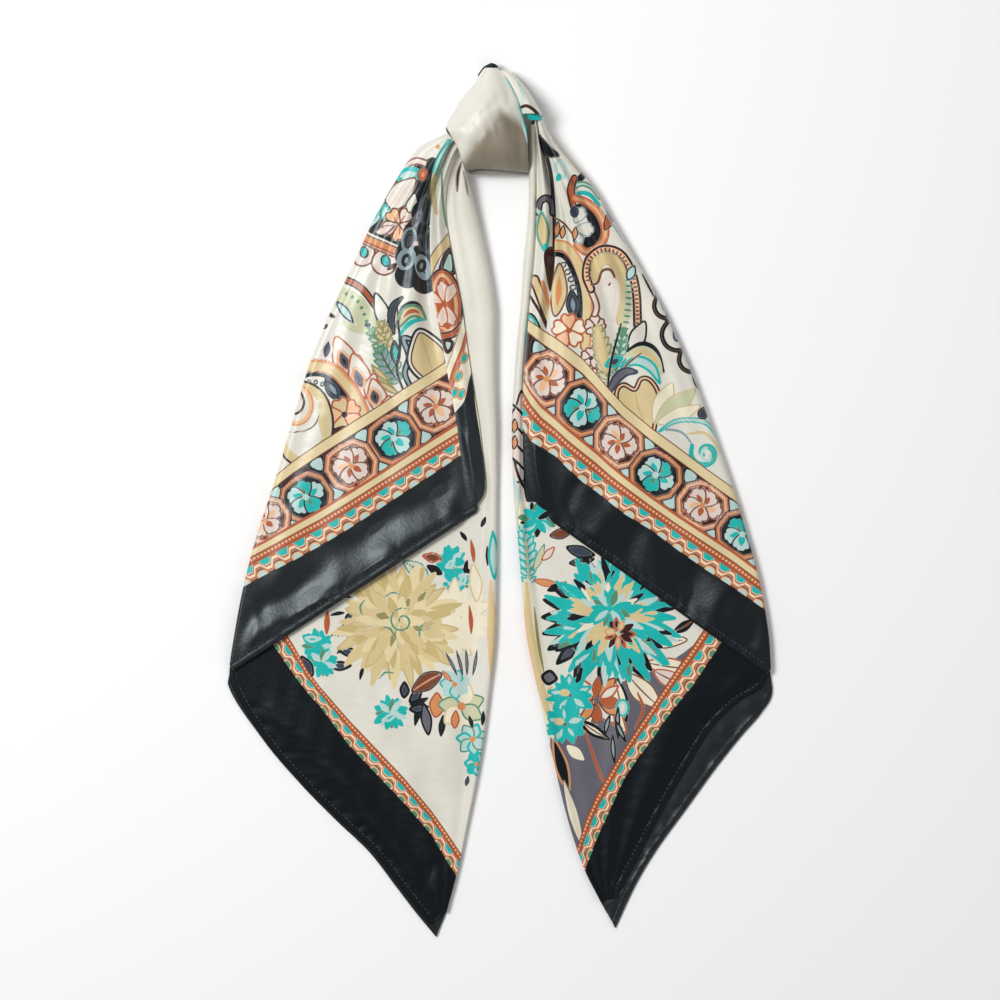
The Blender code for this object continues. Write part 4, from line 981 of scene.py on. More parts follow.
def right_field(cloth):
    """Flowers, leaves and drops above the medallions on the right."""
    cloth.line("olive:0.5 beige:-1", (42, 262, 51, 251, 62, 237), 4)
    discs(cloth, ("mint:0 ivory:-2.8", 44, 240, 16, 10, 100), ("teal:0", 42.5, 234, 6, 4, 70))
    # Painted shadow of the right valley.
    valley_shade(cloth)
    lines(cloth,
        ("black:0", (54, 230, 59, 234, 65, 238), 5, 0.4),
        ("green:0.4 mint:-1", (52, 226, 59, 229.5, 67, 227, 73, 220), 3.4),
        ("teal:0", (53, 219, 59, 223, 66, 221, 72, 214), 3.2),
        ("maroon:0.8 rust:-0.6", (54, 234, 51.5, 225, 53, 213), 4.6, 0.3),
        ("black:0", (55, 211, 64, 211, 69.5, 202, 69.5, 192, 63, 186, 56, 189), 11, 0.4),
        ("rust:1.2 orange:0 peach:-1.4", (54, 219, 63, 216, 72, 208, 76.5, 195, 72, 184, 63, 180, 56, 185),
        4, 0.2))
    for x, y, long, wide, angle in ((54, 201, 13, 9, 58), (55, 197, 13, 10, -4), (55, 194, 9, 6, -60)):
        leaf(cloth, "steel:0.4 ivory:-0.6", x, y, long, wide, angle, 0, None, LOBED)
    disc(cloth, "slate:0.4", 54, 209, 6, 8)
    cloth.line("brown:0", (40, 205, 47, 200, 54, 191), 1.6, 0.4)
    for x, y, long in ((41, 191, 11), (45, 190, 9), (54, 189, 9)):
        leaf(cloth, "maroon:0.5 orange:-0.5", x, y, long, 3.8, 84)
    leaf(cloth, "maroon:0.5 rust:-0.8", 76, 196, 17, 7, 62, 0.1)
    lines(cloth,
        ("steel:0", (76, 216, 80, 204, 92, 186), 1.6, 0.4),
        ("rust:1.2 beige:-0.2", (38, 185, 48, 183, 56, 172, 61, 156, 63, 138, 62, 112), 6),
        ("orange:0", (38, 189, 50, 186, 59, 174, 64.5, 157, 66.5, 138, 65, 112), 1.7),
        ("black:0", (36, 179, 46, 177, 53, 166, 57.5, 151, 58, 134, 54, 112), 3.6))
    beads(cloth, "slate:0.6 ivory:-0.6", (44, 173, 51, 162, 54, 150), 6, (4.4, 3.4))
    leaves(cloth,
        ("black:0.8 slate:-0.5 steel:-3", 54, 132, 20, 9, 96),
        ("brown:1.2 beige:-0.2 orange:-3.2", 40, 134, 37, 11, 78, 0.12))
    flower(cloth, "rust:0.9 cream:-0.6|rust:0.9 peach:-0.6", 50, 123, 12, 10, 5, 20, heart="rust:0")
    cloth.line("brown:0.7 pink:-0.8", (66, 152, 70, 140, 67, 128, 71, 116, 66, 104, 68, 96), 4.2)
    for x, y in ((69, 126), (66, 103), (64, 90)):
        flower(cloth, "brown:0.8 pink:-0.6", x, y, 7.5, 7, 5, 20, heart="maroon:0.4")
    cloth.line("maroon:1 peach:-0.8",
        (66, 153, 62.5, 163, 65, 175, 75, 182, 87, 179, 95, 167, 99, 150, 100, 126), 4.6)
    beads(cloth, "brown:0", (64, 158, 64, 172, 74, 181, 87, 178, 95, 166, 99, 150, 100, 126), 2.9,
        (4.4, 1.5))
    lines(cloth,
        ("mustard:0.5 beige:-0.7", (70, 162, 71, 172, 79, 175, 86, 168, 89, 152, 88, 130), 8.5, 0.2),
        ("sage:0", (92, 160, 92, 140, 88, 118), 6, 0.4))
    beads(cloth, "green:0", (93, 162, 93, 145, 90, 124, 86, 112), 4.4, (6, 1.7), 0.4)
    lines(cloth,
        ("brown:0", (66, 156, 71, 158, 74, 166, 80, 167, 83, 161, 79, 156), 2, 0.3),
        ("pink:0.9 ivory:-0.4", (72, 154, 78, 160, 84, 157, 85, 146, 82, 130), 2.6, 0.3))
    leaf(cloth, "slate:0.8 mint:-0.6", 93, 160, 11, 6, 66)
    cloth.line("black:0", (104, 164, 112, 148), 2.4, 0.4)
    for x, y, size in ((121, 141, 20), (129, 120, 25), (139, 102, 20), (149, 88, 16)):
        disc(cloth, "maroon:0.8 black:-0.8 ivory:-2.8", x, y, size)
        disc(cloth, "slate:0 steel:-1.6 mint:-3.4", x + 2, y + 1, size * 0.56, size * 0.4, 60)
    leaf(cloth, "black:1 ivory:-0.5", 94, 108, 24, 11, 58, 0.08)
    feathers(cloth,
        ("olive:0.4 sage:-0.7", 80, 78, 50, 17, 98, 0.06, "olive:0", 8),
        ("green:0.4 mint:-0.9", 82, 86, 40, 13, 74, 0.1, "green:0", 7))
    leaf(cloth, "mustard:0.5 beige:-0.7", 77, 92, 36, 8, 104, -0.06)
    lines(cloth,
        ("black:0", (92, 108, 103, 111.5, 112, 107, 119, 93), 8, 0.8),
        ("sage:0 beige:-2", (90, 104, 103, 108, 112, 102, 117.5, 91), 8.5, 0.8),
        ("teal:0.2 mint:-1.6", (88, 97, 100, 101, 110, 96, 116, 85), 8, 0.75),
        ("brown:0", (86, 92, 94, 100, 103, 107), 1.6, 0.4))
    leaf(cloth, "teal:0.3 slate:-2", 76, 97, 15, 8, 26)
    lines(cloth,
        ("slate:0.6 grey:-1.4", (99, 93, 91, 93, 84, 87, 78, 76), 6.5, 0.7),
        ("black:0", (88, 128, 82, 106, 79, 90, 78, 76), 1.8, 0.3))
    cloth.fill("maroon:2.2 peach:0.8 maroon:-0.3 beige:-1.7", placed(HEART, 109, 46, 42, 30, 108))
    cloth.line("mustard:0", (107, 52, 101, 66, 98, 78), 1.5, 0.4)
    leaves(cloth,
        ("mustard:0.4 cream:-0.6", 112, 56, 32, 14, 66), ("mustard:0.4 sage:-0.6", 113, 56, 38, 15, 40),
        ("mustard:0.4 cream:-0.6", 114, 56, 34, 11, 16, 0.1))
    lines(cloth,
        ("steel:0", (110, 48, 120, 51, 132, 49, 140, 40), 1.8, 0.4),
        ("teal:0.3 mint:-0.9", (116, 50, 127, 57, 141, 58, 151, 55, 160, 44), 3.6, 0.5),
        ("beige:0", (136, 48, 147, 49, 154, 44, 161, 34), 2.2, 0.4))
    spiral(cloth, "teal:0.4 green:-1.4", 149, 34, 11, 1.2, 3.6, 150)
    spiral(cloth, "mint:0", 151, 32, 6, 0.8, 2.2, 100)
    disc(cloth, "maroon:1 slate:-0.4", 148, 63, 8, 7, 40)


def valley_stripes(cloth):
    """Stripes that run down beside the left pleat from the knot."""
    lines(cloth,
        ("teal:0.6 mint:-0.7", (-37, 260, -42, 252, -45, 245, -47.5, 236), 3.4, 0.3),
        ("green:0", (-42, 238, -42, 226, -41, 212, -39, 198), 1.8, 0.5),
        ("mustard:0.4 sage:-0.8", (-48, 236, -48.5, 222, -46, 208), 3.2, 0.5))


def left_pleat(cloth):
    """Bands and the part of a medallion that turn over the left pleat."""
    valley_stripes(cloth)
    cloth.line("brown:0.7 beige:-0.4", (-30, 200, -37, 189, -46, 178, -54, 162), 6)
    cloth.fill("maroon:2.6 black:0.6 mint:-1", curve((-42, 168, -36, 181, -34, 166), 3, True))
    disc(cloth, "maroon:4.4 rust:2.8 orange:0.8 peach:-0.2 rust:-1.6", -40, 143, 42, 17, 97)
    for x, y, angle in ((-41, 144, 96), (-39, 143, 68), (-39, 141, -70), (-41, 141, -96), (-42, 143, 150)):
        leaf(cloth, "rust:0.6 pink:-0.6", x, y, 15, 8, angle, 0, "peach:0", LOBED)
    cloth.line("maroon:1.4 rust:0", (-52, 118, -40, 119, -32, 122, -24, 132), 3)
    cloth.fill("maroon:2 mint:-0.6", curve((-40, 115, -35, 114, -38, 108), 3, True))
    lines(cloth,
        ("brown:0.7 cream:-0.2", (-24, 134, -30, 113, -36, 96, -40, 80), 4.6),
        ("rust:0.4 orange:-1.2 rust:-1.7", (-21, 130, -26, 110, -32, 95, -37, 78), 4.4),
        ("cream:0", (-17, 128, -22, 106, -27, 90, -32, 74), 8))
    for x, y in ((-26, 103), (-30, 90), (-28, 77), (-33, 78)):
        disc(cloth, "orange:1.1 teal:-0.2", x, y, 7, 4.2, 72)
    cloth.fill("black:0",
        curve((-16, 122, -21.5, 113, -20, 98, -23, 85, -26, 72, -34, 62, -60, 30, -40, -30, 10, -20, 0, 60),
        3, True))
    cloth.line("sage:0.2 beige:-0.6", (-19, 98, -16.6, 70, -12.8, 45, -10.4, 22), 2.4, 0.6)


def valley_shade(cloth):
    """Painted shadow down the right valley: the dark line in it and the wedge at its top."""
    cloth.line("black:0", (29, 264, 34, 249, 37, 236, 38.5, 220, 39.5, 200, 39, 180, 38, 160), 2.8, 0.3)
    cloth.fill("maroon:0.8 black:0", curve((29, 263, 36, 256, 43, 250, 33, 250), 3, True))


def right_pleat(cloth):
    """Stripes and leaves that turn over the right pleat."""
    # Painted shadow of the right valley.
    valley_shade(cloth)
    lines(cloth,
        ("sage:0.6 mustard:-1", (24, 246, 25, 215, 24, 180), 3.4, 0.5),
        ("black:0.7 grey:-0.8", (28, 208, 29, 216, 33.5, 219, 37.5, 216, 38, 208), 4.4, 0.3),
        ("mint:0", (26, 211, 33, 205), 2.2))
    leaf(cloth, "teal:0.9 green:0.1 beige:-1", 32, 182, 27, 9, 94)
    disc(cloth, "teal:0", 33, 183, 7, 5, 80)
    cloth.fill("maroon:0", curve((32, 180, 39, 183, 39, 162, 36.5, 151, 33, 166), 4, True))
    lines(cloth,
        ("maroon:0.8 beige:-0.8", (25, 160, 31, 144, 38, 126), 6),
        ("orange:0", (31, 158, 36, 140, 41, 124), 3), ("maroon:0", (22, 148, 30, 134, 37, 118, 42, 108), 2))
    disc(cloth, "black:0.8 teal:-0.8 mint:-2.4", 25, 123, 26, 9, 108)


def left_roll(cloth):
    """The plain roll on the left, with dark taupe lines painted on it as the shadow of a fold."""
    lines(cloth,
        ("taupe:0.7 maroon:0", (-28, 245, -30.5, 236, -31, 224), 1.8, 0.8),
        ("taupe:0", (-27, 240, -24, 226, -21, 212), 1.6, 0.8))


def right_roll(cloth):
    """The roll on the right: plain above, an open lattice of dark lines below."""
    cloth.line("mint:0", (19.5, 132, 18.5, 112), 3, 0.6)
    cloth.fill("maroon:1.2 pink:-0.4", curve((17, 77, 12, 68, 7, 56, 6, 20, 16, 14, 24, 30), 4, True))
    for y in (66, 52, 39, 27):
        cloth.line("black:0", [(7, y + 5), (13, y), (21, y - 9)], 1.9, 0.3)
    for y in (58, 46):
        leaf(cloth, "maroon:0.5 orange:-0.7", 10, y - 9, 10, 4.5, 80, 0.1)
    lines(cloth, ("black:0", (10, 30, 14, 16, 22, 2), 2.2, 0.4), ("mint:0", (10, 16, 13, 4, 14, -8), 3, 0.4))


def left_lower(cloth):
    """Large flowers of the left lower drape."""
    for x, y, angle, size in (
            (-122, -98, 28, 24), (-112, -104, 62, 17), (-66, -149, 12, 15), (-57, -148, 245, 17),
            (-34, -50, -15, 16)):
        leaf(cloth, "black:0", x, y, size, 5, angle, 0.15)
    for x, y, angle, long in (
            (-124, -120, -8, 16), (-118, -108, -20, 20), (-120, -98, 20, 18), (-112, -92, 60, 12),
            (-138, -122, 230, 16), (-66, -147, 40, 14), (-70, -144, 80, 12), (-66, -152, 0, 14)):
        leaf(cloth, "black:0.4 slate:-1.6", x, y, long, 7, angle, 0.12)
    for x, y, size, count, turn in (
            (-36, -45, 11, 6, 10), (-31, -60, 9, 5, 50), (-133, -105, 10, 6, 0), (-130, -118, 10, 6, 30),
            (-80, -155, 11, 6, 30)):
        disc(cloth, "teal:0", x, y, size * 1.4)
        bloom(cloth, "teal:0.8|teal:0.6|mint:0.1|teal:0.8|green:0.1", x, y, 1, size + 1, 4.6, 3 * count,
            turn)
    for x, y, long, angle in (
            (-142, -100, 12, -20), (-30, -62, 10, 40), (-86, -160, 13, 10), (-40, -49, 9, 20)):
        leaf(cloth, "mint:0.2 teal:-1.6", x, y, long, 5, angle, 0.3)
    leaves(cloth,
        ("green:0.4 mint:-0.8 sage:-1.8", -52, -57, 22, 11, 140, 0.1, "slate:0"),
        ("rust:0.2 brown:-1.4", -42, -44, 15, 8, 160, 0.1), ("black:0.3", -42, -54, 13, 6, 150),
        ("black:0.3 slate:-1.4", -136, -128, 17, 8, 120), ("rust:0.2", -126, -98, 18, 4, 88),
        ("cream:0", -60, -92, 48, 46, 2))
    bloom(cloth, "cream:0.4|beige:0.2 cream:-0.8|cream:0", -34, -88, 6, 30, 8, 16, 4)
    for angle in (150, 168, 186, 202, 216, 232):
        leaf(cloth, "black:0", *around(-75, -90, 38, angle), 12, 3, angle + 10, 0.2)
    disc(cloth, "beige:0", -75, -91, 66, 68)
    blooms(cloth,
        ("mustard:0.6 beige:-0.8|beige:0.4|mustard:0.2|sand:0.4", -75, -91, 20, 47, 7.5, 36, 1),
        ("beige:0.6|mustard:0.4|sand:0.4|beige:0.6|mustard:0.6 beige:-0.8", -75, -90, 14, 38, 7, 29, 2),
        ("mustard:0.3|beige:0.5|sand:0.4|olive:0.1|beige:0.6", -74, -89, 8, 29, 6.5, 24, 3),
        ("sand:0.5|mustard:0.3|beige:0.4|olive:0.1", -73, -88, 3, 19, 5.6, 16, 5))
    spiral(cloth, "green:0", -71, -88, 10, 1.4, 1.5, 60)
    for x, y, angle in ((-84, -71, 10), (-86, -92, -40), (-88, -130, 20), (-58, -100, 70), (-100, -84, 80)):
        cloth.line("green:0", placed([(0, 0), (0.5, 0.3), (1, 0)], x, y, 12, 9, angle), 1.5, 0.5)
    leaves(cloth,
        ("maroon:0.2 brown:-1", -42, -126, 26, 13, 205, 0.1, "orange:0"),
        ("rust:0.4 orange:-1", -47, -158, 18, 11, 80, 0.1),
        ("black:0.3 grey:-1.4", -52, -171, 24, 8, 96, 0.05), ("black:0.1", -43, -172, 16, 5, 84))
    for x, y, size, wide, layers in (
            (-28, -150, 17, 12, "green:0.5 sage:-0.8|beige:0.6 cream:-0.6|cream:0.2"),
            (-33, -134, 11, 9, "mint:0.5|teal:0.3 mint:-1"),
            (-20, -174, 12, 9, "green:0.5 mint:-0.6|teal:0.4 mint:-1.4"),
            (-17, -192, 9, 8, "teal:0.4|teal:0.4 mint:-1.6")):
        flower(cloth, layers, x, y, size, wide, 7, 20, shape=BLADE, heart="orange:0")
    leaves(cloth,
        ("rust:0 orange:-0.9", -42, -124, 11, 4, -50), ("rust:0.4 orange:-0.8", -33, -166, 13, 6, 86))
    for x, y, angle, size, layers in (
            (-19, -46, 92, 18, "rust:0"), (-9, -48, 86, 15, "maroon:0"), (-21, -98, 88, 22, "rust:0"),
            (-4, -92, 90, 26, "brown:0"), (-14, -20, 60, 9, "black:0"), (-24, -30, 120, 9, "black:0"),
            (-18, -62, 100, 12, "slate:0"), (-26, -52, 70, 9, "black:0"), (-13, -164, 80, 11, "black:0"),
            (-20, -166, 100, 10, "black:0"), (-25, -208, 70, 8, "slate:0")):
        leaf(cloth, layers, x, y, size, 3.4, angle, 0.1)
    leaves(cloth,
        ("beige:0.4 cream:-0.8", -17, -74, 28, 9, 90, 0.1), ("teal:0.2 mint:-1.6", -4, -58, 36, 8, 92),
        ("peach:0.4 beige:-0.4", -4, -142, 84, 7, 92), ("rust:0.2", -5, -160, 26, 4, 88))
    for x, angle in ((-31, 112), (-27, 100), (-24, 88), (-20, 76)):
        leaf(cloth, "slate:0 grey:-0.9", x, -128, 20, 2.6, angle, 0.08)


def right_lower(cloth):
    """Large flowers of the right lower drape, over a grey ground."""
    cloth.fill("grey:0",
        curve((40, -150, 80, -135, 120, -120, 170, -90, 150, -170, 60, -290, 40, -230), 4, True))
    leaf(cloth, "sage:0.6 cream:-0.6", 16, -34, 48, 8, 88)
    feathers(cloth,
        ("teal:0.4 mint:-0.8", 21, -64, 46, 17, 92, 0.04, "beige:0", 8),
        ("mint:0.2", 17, -30, 34, 12, 80, -0.1, "teal:0", 6))
    lines(cloth,
        ("cream:0", (20, -60, 24, -100, 31, -136, 40, -172), 11, 0.5),
        ("beige:0", (19, -60, 22, -96, 30, -136, 39, -170), 6, 0.6),
        ("olive:0", (25, -78, 28, -104, 32, -126), 2.4, 0.7),
        ("peach:0", (17, -76, 21, -108, 28, -140), 2, 0.6))
    leaves(cloth,
        ("orange:0.6 black:-0.8", 50, -212, 40, 9, 106), ("grey:0.6 cream:-0.2", 60, -252, 50, 6.5, 106))
    bloom(cloth, "teal:0.5|green:0.5|black:0.5|teal:0.5|mint:0.1", 27, -14, 1, 13, 4.4, 22, 21)
    for x, y, angle, size, wide, layers in (
            (36, -26, 8, 18, 8, "maroon:0.3 brown:-1"), (48, -34, -22, 22, 9, "black:0.2 slate:-1.4"),
            (50, -46, 4, 19, 7, "black:0.2 slate:-1.2"), (24, -52, 62, 22, 6, "green:0 sage:-0.9"),
            (24, -58, -16, 20, 6, "rust:0 orange:-1"), (34, -66, 18, 16, 6, "black:0"),
            (30, -44, 40, 14, 6, "rust:0.1 pink:-1")):
        leaf(cloth, layers, x, y, size, wide, angle, 0.1)
    for angle in (20, 64, 110, 146, 160, 174, 188, 202, 216, 236, 262, 300, 338):
        leaf(cloth, "black:0.4 slate:-2.4", *around(80, -88, 26, angle), 24, 9, angle, 0.1)
    for x, y, angle, size, wide, layers in (
            (104, -100, -10, 32, 12, "brown:0.4 cream:-0.7"), (106, -118, -14, 36, 13, "rust:0.3 cream:-1"),
            (126, -96, 24, 18, 7, "black:0.2"), (92, -126, -52, 36, 16, "brown:0.4 cream:-0.8"),
            (112, -124, -32, 26, 12, "rust:0.4 pink:-0.8"), (84, -128, -84, 34, 12, "black:0.3 cream:-1.8"),
            (64, -134, -100, 34, 15, "brown:0.4 cream:-0.7"), (74, -140, -66, 34, 12, "rust:0.3 cream:-1"),
            (58, -160, -40, 26, 8, "black:0.4 cream:-2"), (36, -136, -60, 20, 12, "beige:0.4 cream:-1")):
        leaf(cloth, layers, x, y, size, wide, angle, 0.12, "brown:0")
    bloom(cloth, "brown:0.5 rust:-0.5|rust:0.4 ivory:-1.2|brown:0.4 orange:-1", 70, -146, 3, 20, 8, 12, 9)
    for x, y, size in ((51, -142, 17), (47, -163, 15)):
        bloom(cloth, "teal:0.5|teal:0.4 mint:-1.2|teal:0.5", x, y, 2, size, 6, 15, size)
        disc(cloth, "beige:0.2", x - 4, y + 2, 7, 5)
    disc(cloth, "teal:0.6 mint:-1 ivory:-3", 89, -151, 9, 12)
    for x, y, long, angle in (
            (86, -150, 24, -96), (84, -160, 18, -70), (80, -156, 16, -110), (82, -170, 22, -92)):
        leaf(cloth, "black:0.2 steel:-1.2", x, y, long, 4, angle, 0.1)
    leaf(cloth, "black:0.4 grey:-2", 30, -128, 12, 11, -10)
    lines(cloth,
        ("rust:0", (62, -168, 68, -186, 74, -202, 80, -210), 2.4, 0.5),
        ("rust:0", (100, -140, 104, -152, 98, -166), 2.4, 0.5))
    leaf(cloth, "grey:0.4 cream:-0.6", 48, -178, 18, 9, -40)
    disc(cloth, "teal:0", 82, -87, 72)
    blooms(cloth,
        ("teal:0.9|teal:0.7|black:0.7|teal:0.9|mint:0", 82, -87, 22, 49, 5.6, 62, 11),
        ("teal:0.9|black:0.5|teal:0.8|mint:0|teal:0.8|green:0.2", 82, -86, 17, 42, 5.2, 52, 12),
        ("teal:0.8|beige:0.2|teal:0.8|mint:0.1|black:0.4|teal:0.7", 81, -85, 12, 35, 4.8, 44, 13),
        ("beige:0.6|teal:0.5|beige:0.5|cream:0.1|mint:0.2|beige:0.4", 80, -83, 8, 27, 4.6, 36, 14),
        ("teal:0.8|teal:0.5|mint:0.1|teal:0.6|green:0.2", 80, -79, 2, 15, 4.4, 20, 15),
        ("rust:0.4 maroon:-1|maroon:0.2|orange:0.2 beige:-0.8", 86, -97, 2, 12, 4.6, 11, 16))


def knot_print_and_shadow(cloth):
    """Maroon lines painted as shadow along the band's turned left and lower edges, and the faint green line
    that runs over the band.
    """
    lines(cloth,
        ("maroon:0", (-41, 272, -37, 264.5, -35, 260, -33, 255, -30.5, 250, -28, 245, -25, 238), 2.2),
        ("maroon:0", (-24, 238, -14, 239.3, 2, 238.4, 20, 237), 1.5),
        ("mint:1.4 teal:0", (5, 306, 10, 297, 13, 291, 15, 283, 17, 276, 19, 268, 21, 260), 1.4, 0.3))


def side_print(cloth):
    lines(cloth,
        ("mint:0", (13, 303, 16, 295, 17, 288), 2.4, 0.4),
        ("maroon:0", (14, 284, 19, 285.5, 24, 283, 28, 279, 32, 276), 2.6, 0.2))


def grid_mesh(points):
    """A bmesh grid whose vertices are moved to points, an array of rows x columns x 3 in mm."""
    rows, columns = points.shape[:2]
    bm = bmesh.new()
    bmesh.ops.create_grid(bm, x_segments=columns - 1, y_segments=rows - 1, size=1.0)
    bm.verts.ensure_lookup_table()
    for vert, place in zip(bm.verts, (points * MM).reshape(-1, 3).tolist()):
        vert.co = place
    bm.normal_update()
    return bm


def put(name, bm, material):
    """A bmesh made into a piece of the scarf."""
    mesh = bpy.data.meshes.new(name)
    bm.to_mesh(mesh)
    bm.free()
    mesh.materials.append(material)
    piece = bpy.data.objects.new(name, mesh)
    bpy.context.scene.collection.objects.link(piece)
    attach(piece, "root")
    return piece


def add_cloth(name, points, material, fields):
    """A sheet through a grid of places, with its print fields, and its wall turned in at the edge."""
    bm = grid_mesh(points)
    if sum(face.normal.z * face.calc_area() for face in bm.faces) < 0:
        bmesh.ops.reverse_faces(bm, faces=bm.faces)
    for edge in bm.edges:
        edge.smooth = not edge.is_boundary
    for face in bm.faces:
        face.smooth = True
    piece = put(name, bm, material)
    for field, values in fields.items():
        attribute = piece.data.attributes.new(field, "FLOAT", "POINT")
        attribute.data.foreach_set("value", np.asarray(values, np.float32))
    thicken = piece.modifiers.new("wall", "SOLIDIFY")
    thicken.thickness = chosen().wall
    thicken.offset = -1.0
    thicken.use_even_offset = False
    thicken.use_rim_only = True
    return piece


def stitched(name, paths):
    """Short stitches of thread laid on the cloth along hem lines, as one piece."""
    long, wide, high = 2.1 * MM, 0.62 * MM, 0.5 * MM
    bm = bmesh.new()
    for path in paths:
        run = run_along(path)
        for place in np.arange(2.0, run[-1] - 2.0, chosen().stitch / MM):
            here, ahead = (Vector([np.interp(place + step, run, path[:, i]) * MM for i in range(3)])
                           for step in (0.0, 0.5))
            turn = (ahead - here).to_track_quat("X", "Z").to_matrix().to_4x4()
            size = Matrix.Diagonal((long / 2, wide / 2, high / 2, 1.0))
            bmesh.ops.create_uvsphere(bm, u_segments=6, v_segments=4, radius=1.0,
                                      matrix=Matrix.Translation(here) @ turn @ size)
    piece = put(name, bm, plain_silk(name + " thread", tuple(chosen().thread), 0.3))
    piece.data.shade_smooth()
    return piece


class Surface:
    """A node tree that is built up by short calls."""

    def __init__(self, name):
        self.material = bpy.data.materials.new(name)
        self.material.use_nodes = True
        self.tree = self.material.node_tree
        self.shader = self.tree.nodes["Principled BSDF"]

    def add(self, kind, **settings):
        node = self.tree.nodes.new(kind)
        for key, value in settings.items():
            setattr(node, key, value)
        return node

    def plug(self, socket, value):
        if isinstance(value, bpy.types.NodeSocket):
            self.tree.links.new(value, socket)
        else:
            socket.default_value = value

    def fit(self, node, inputs):
        """Sets or links a node's named inputs."""
        for name, value in inputs.items():
            self.plug(node.inputs[name], value)
        return node

    def fitted(self, kind, inputs):
        return self.fit(self.add(kind), inputs)

    def math(self, operation, a, b=0.0, c=0.0):
        node = self.add("ShaderNodeMath", operation=operation)
        for socket, value in zip(node.inputs, (a, b, c)):
            self.plug(socket, value)
        return node.outputs[0]

    def less(self, a, b):
        return self.math("SUBTRACT", a, b)

    def field(self, name):
        return self.add("ShaderNodeAttribute", attribute_name=name).outputs["Fac"]

    def within(self, gap, soft=EDGE_SOFT):
        """1 where a gap is below zero, with a sharp soft edge."""
        node = self.add("ShaderNodeMapRange")
        for socket, value in zip(node.inputs, (gap, soft, -soft, 0.0, 1.0)):
            self.plug(socket, value)
        return node.outputs[0]

    def mix(self, share, below, above):
        node = self.add("ShaderNodeMix", data_type="RGBA")
        self.plug(node.inputs[0], share)
        for socket, value in ((node.inputs[6], below), (node.inputs[7], above)):
            self.plug(socket, value if isinstance(value, bpy.types.NodeSocket) else (*value, 1.0))
        return node.outputs[2]

    def oval(self, along, up, middle, long, wide):
        """How far outside an oval (in mm, roughly) a place is, from its offsets."""
        across = self.math("DIVIDE", self.less(up, middle), wide)
        run = self.math("DIVIDE", along, long)
        squares = self.math("ADD", self.math("MULTIPLY", run, run), self.math("MULTIPLY", across, across))
        return self.math("MULTIPLY", self.less(self.math("SQRT", squares), 1.0), wide)

    def repeat(self, along, pitch, shift=0.0):
        """Offset from the middle of the nearest repeat."""
        moved = self.math("ADD", along, shift)
        return self.less(self.math("FLOORED_MODULO", moved, pitch), pitch / 2)


SATIN_ROUGHNESS = 0.39
SATIN_TINT = (0.86, 0.97, 1.0, 1.0)
TRIM_PITCH = 14.2
WAVE_AT, WAVE_HIGH = 5.6, 2.3


def trim_inks(surface, colour, along, up, top, pale):
    """The narrow trim along a border: waves with cells between them, and a dotted stripe."""

    def band(middle, half):
        return surface.within(surface.less(surface.math("ABSOLUTE", surface.less(up, middle)), half))

    if pale:
        for half, ink in ((4.1, INKS["brown"]), (3.3, STRIPE)):
            colour = surface.mix(band(WIDE_AT, half), colour, ink)
    colour = surface.mix(surface.within(surface.less(up, top)), colour, INKS["cream"])
    if pale:
        colour = surface.mix(band(PALE_AT, 2.4), colour, STRIPE)
        colour = surface.mix(band(PALE_AT + 3.2, 1.0), colour, INKS["rust"])
    swing = surface.math("SINE", surface.math("MULTIPLY", along, 2 * math.pi / TRIM_PITCH))
    swing = surface.math("MULTIPLY", swing, -1.5 * WAVE_HIGH)
    wave = surface.math("MAXIMUM", surface.math("MINIMUM", swing, WAVE_HIGH), -WAVE_HIGH)
    off = surface.less(surface.less(up, WAVE_AT), wave)
    above = surface.math("MAXIMUM", surface.less(2.7, off), surface.less(up, 10.4))
    colour = surface.mix(surface.within(above), colour, INKS["teal"])
    below = surface.math("ADD", 2.4, off)
    colour = surface.mix(surface.within(below), colour, INKS["brown"])
    core = surface.oval(surface.repeat(along, TRIM_PITCH, -TRIM_PITCH / 4), up, 0.9, 4.2, 3.3)
    colour = surface.mix(surface.within(core), colour, INKS["peach"])
    core = surface.math("ADD", 1.1, core)
    colour = surface.mix(surface.within(core), colour, INKS["mint"] if pale else INKS["green"])
    for half, ink in ((2.2, "rust"), (1.1, "peach"), (0.5, "cream")):
        gap = surface.less(surface.math("ABSOLUTE", off), half)
        colour = surface.mix(surface.within(gap), colour, INKS[ink])
    colour = surface.mix(band(DOTTED_AT, 2.5), colour, INKS["brown"])
    colour = surface.mix(band(DOTTED_AT, 1.9), colour, INKS["rust"])
    dots = surface.oval(surface.repeat(along, 2.9), up, DOTTED_AT, 0.9, 0.85)
    colour = surface.mix(surface.within(dots), colour, INKS["peach"])
    colour = surface.mix(band(10.6, 0.5), colour, INKS["rust"])
    return surface.mix(surface.within(up), colour, tuple(chosen().border))


def satin(surface, colour, sheen, gloss=0.38):
    """Finishes a surface as silk satin: slight uneven colour, a fine weave and a soft gloss."""
    place = surface.add("ShaderNodeTexCoord").outputs["Object"]
    mottle = surface.fitted("ShaderNodeTexNoise", {"Scale": 38.0, "Detail": 3.0, "Vector": place})
    value = surface.add("ShaderNodeMapRange")
    for socket, setting in zip(value.inputs, (mottle.outputs["Fac"], 0.3, 0.7, 0.95, 1.04)):
        surface.plug(socket, setting)
    shade = surface.fitted("ShaderNodeHueSaturation", {"Color": colour, "Value": value.outputs[0]})
    grain = surface.fitted("ShaderNodeTexNoise", {"Scale": 420.0, "Detail": 2.0, "Vector": place})
    weave = {"Strength": 0.35, "Distance": 0.0004, "Height": grain.outputs["Fac"]}
    bump = surface.fitted("ShaderNodeBump", weave)
    surface.fit(surface.shader, {
        "Base Color": shade.outputs[0],
        "Roughness": SATIN_ROUGHNESS,
        "Sheen Weight": sheen,
        "Sheen Roughness": 0.35,
        "Specular IOR Level": gloss,
        "Specular Tint": SATIN_TINT,
        "Normal": bump.outputs[0],
    })
    return surface.material


def chosen():
    """The sizes and colours that are set in the panel."""
    return bpy.context.scene.scarf


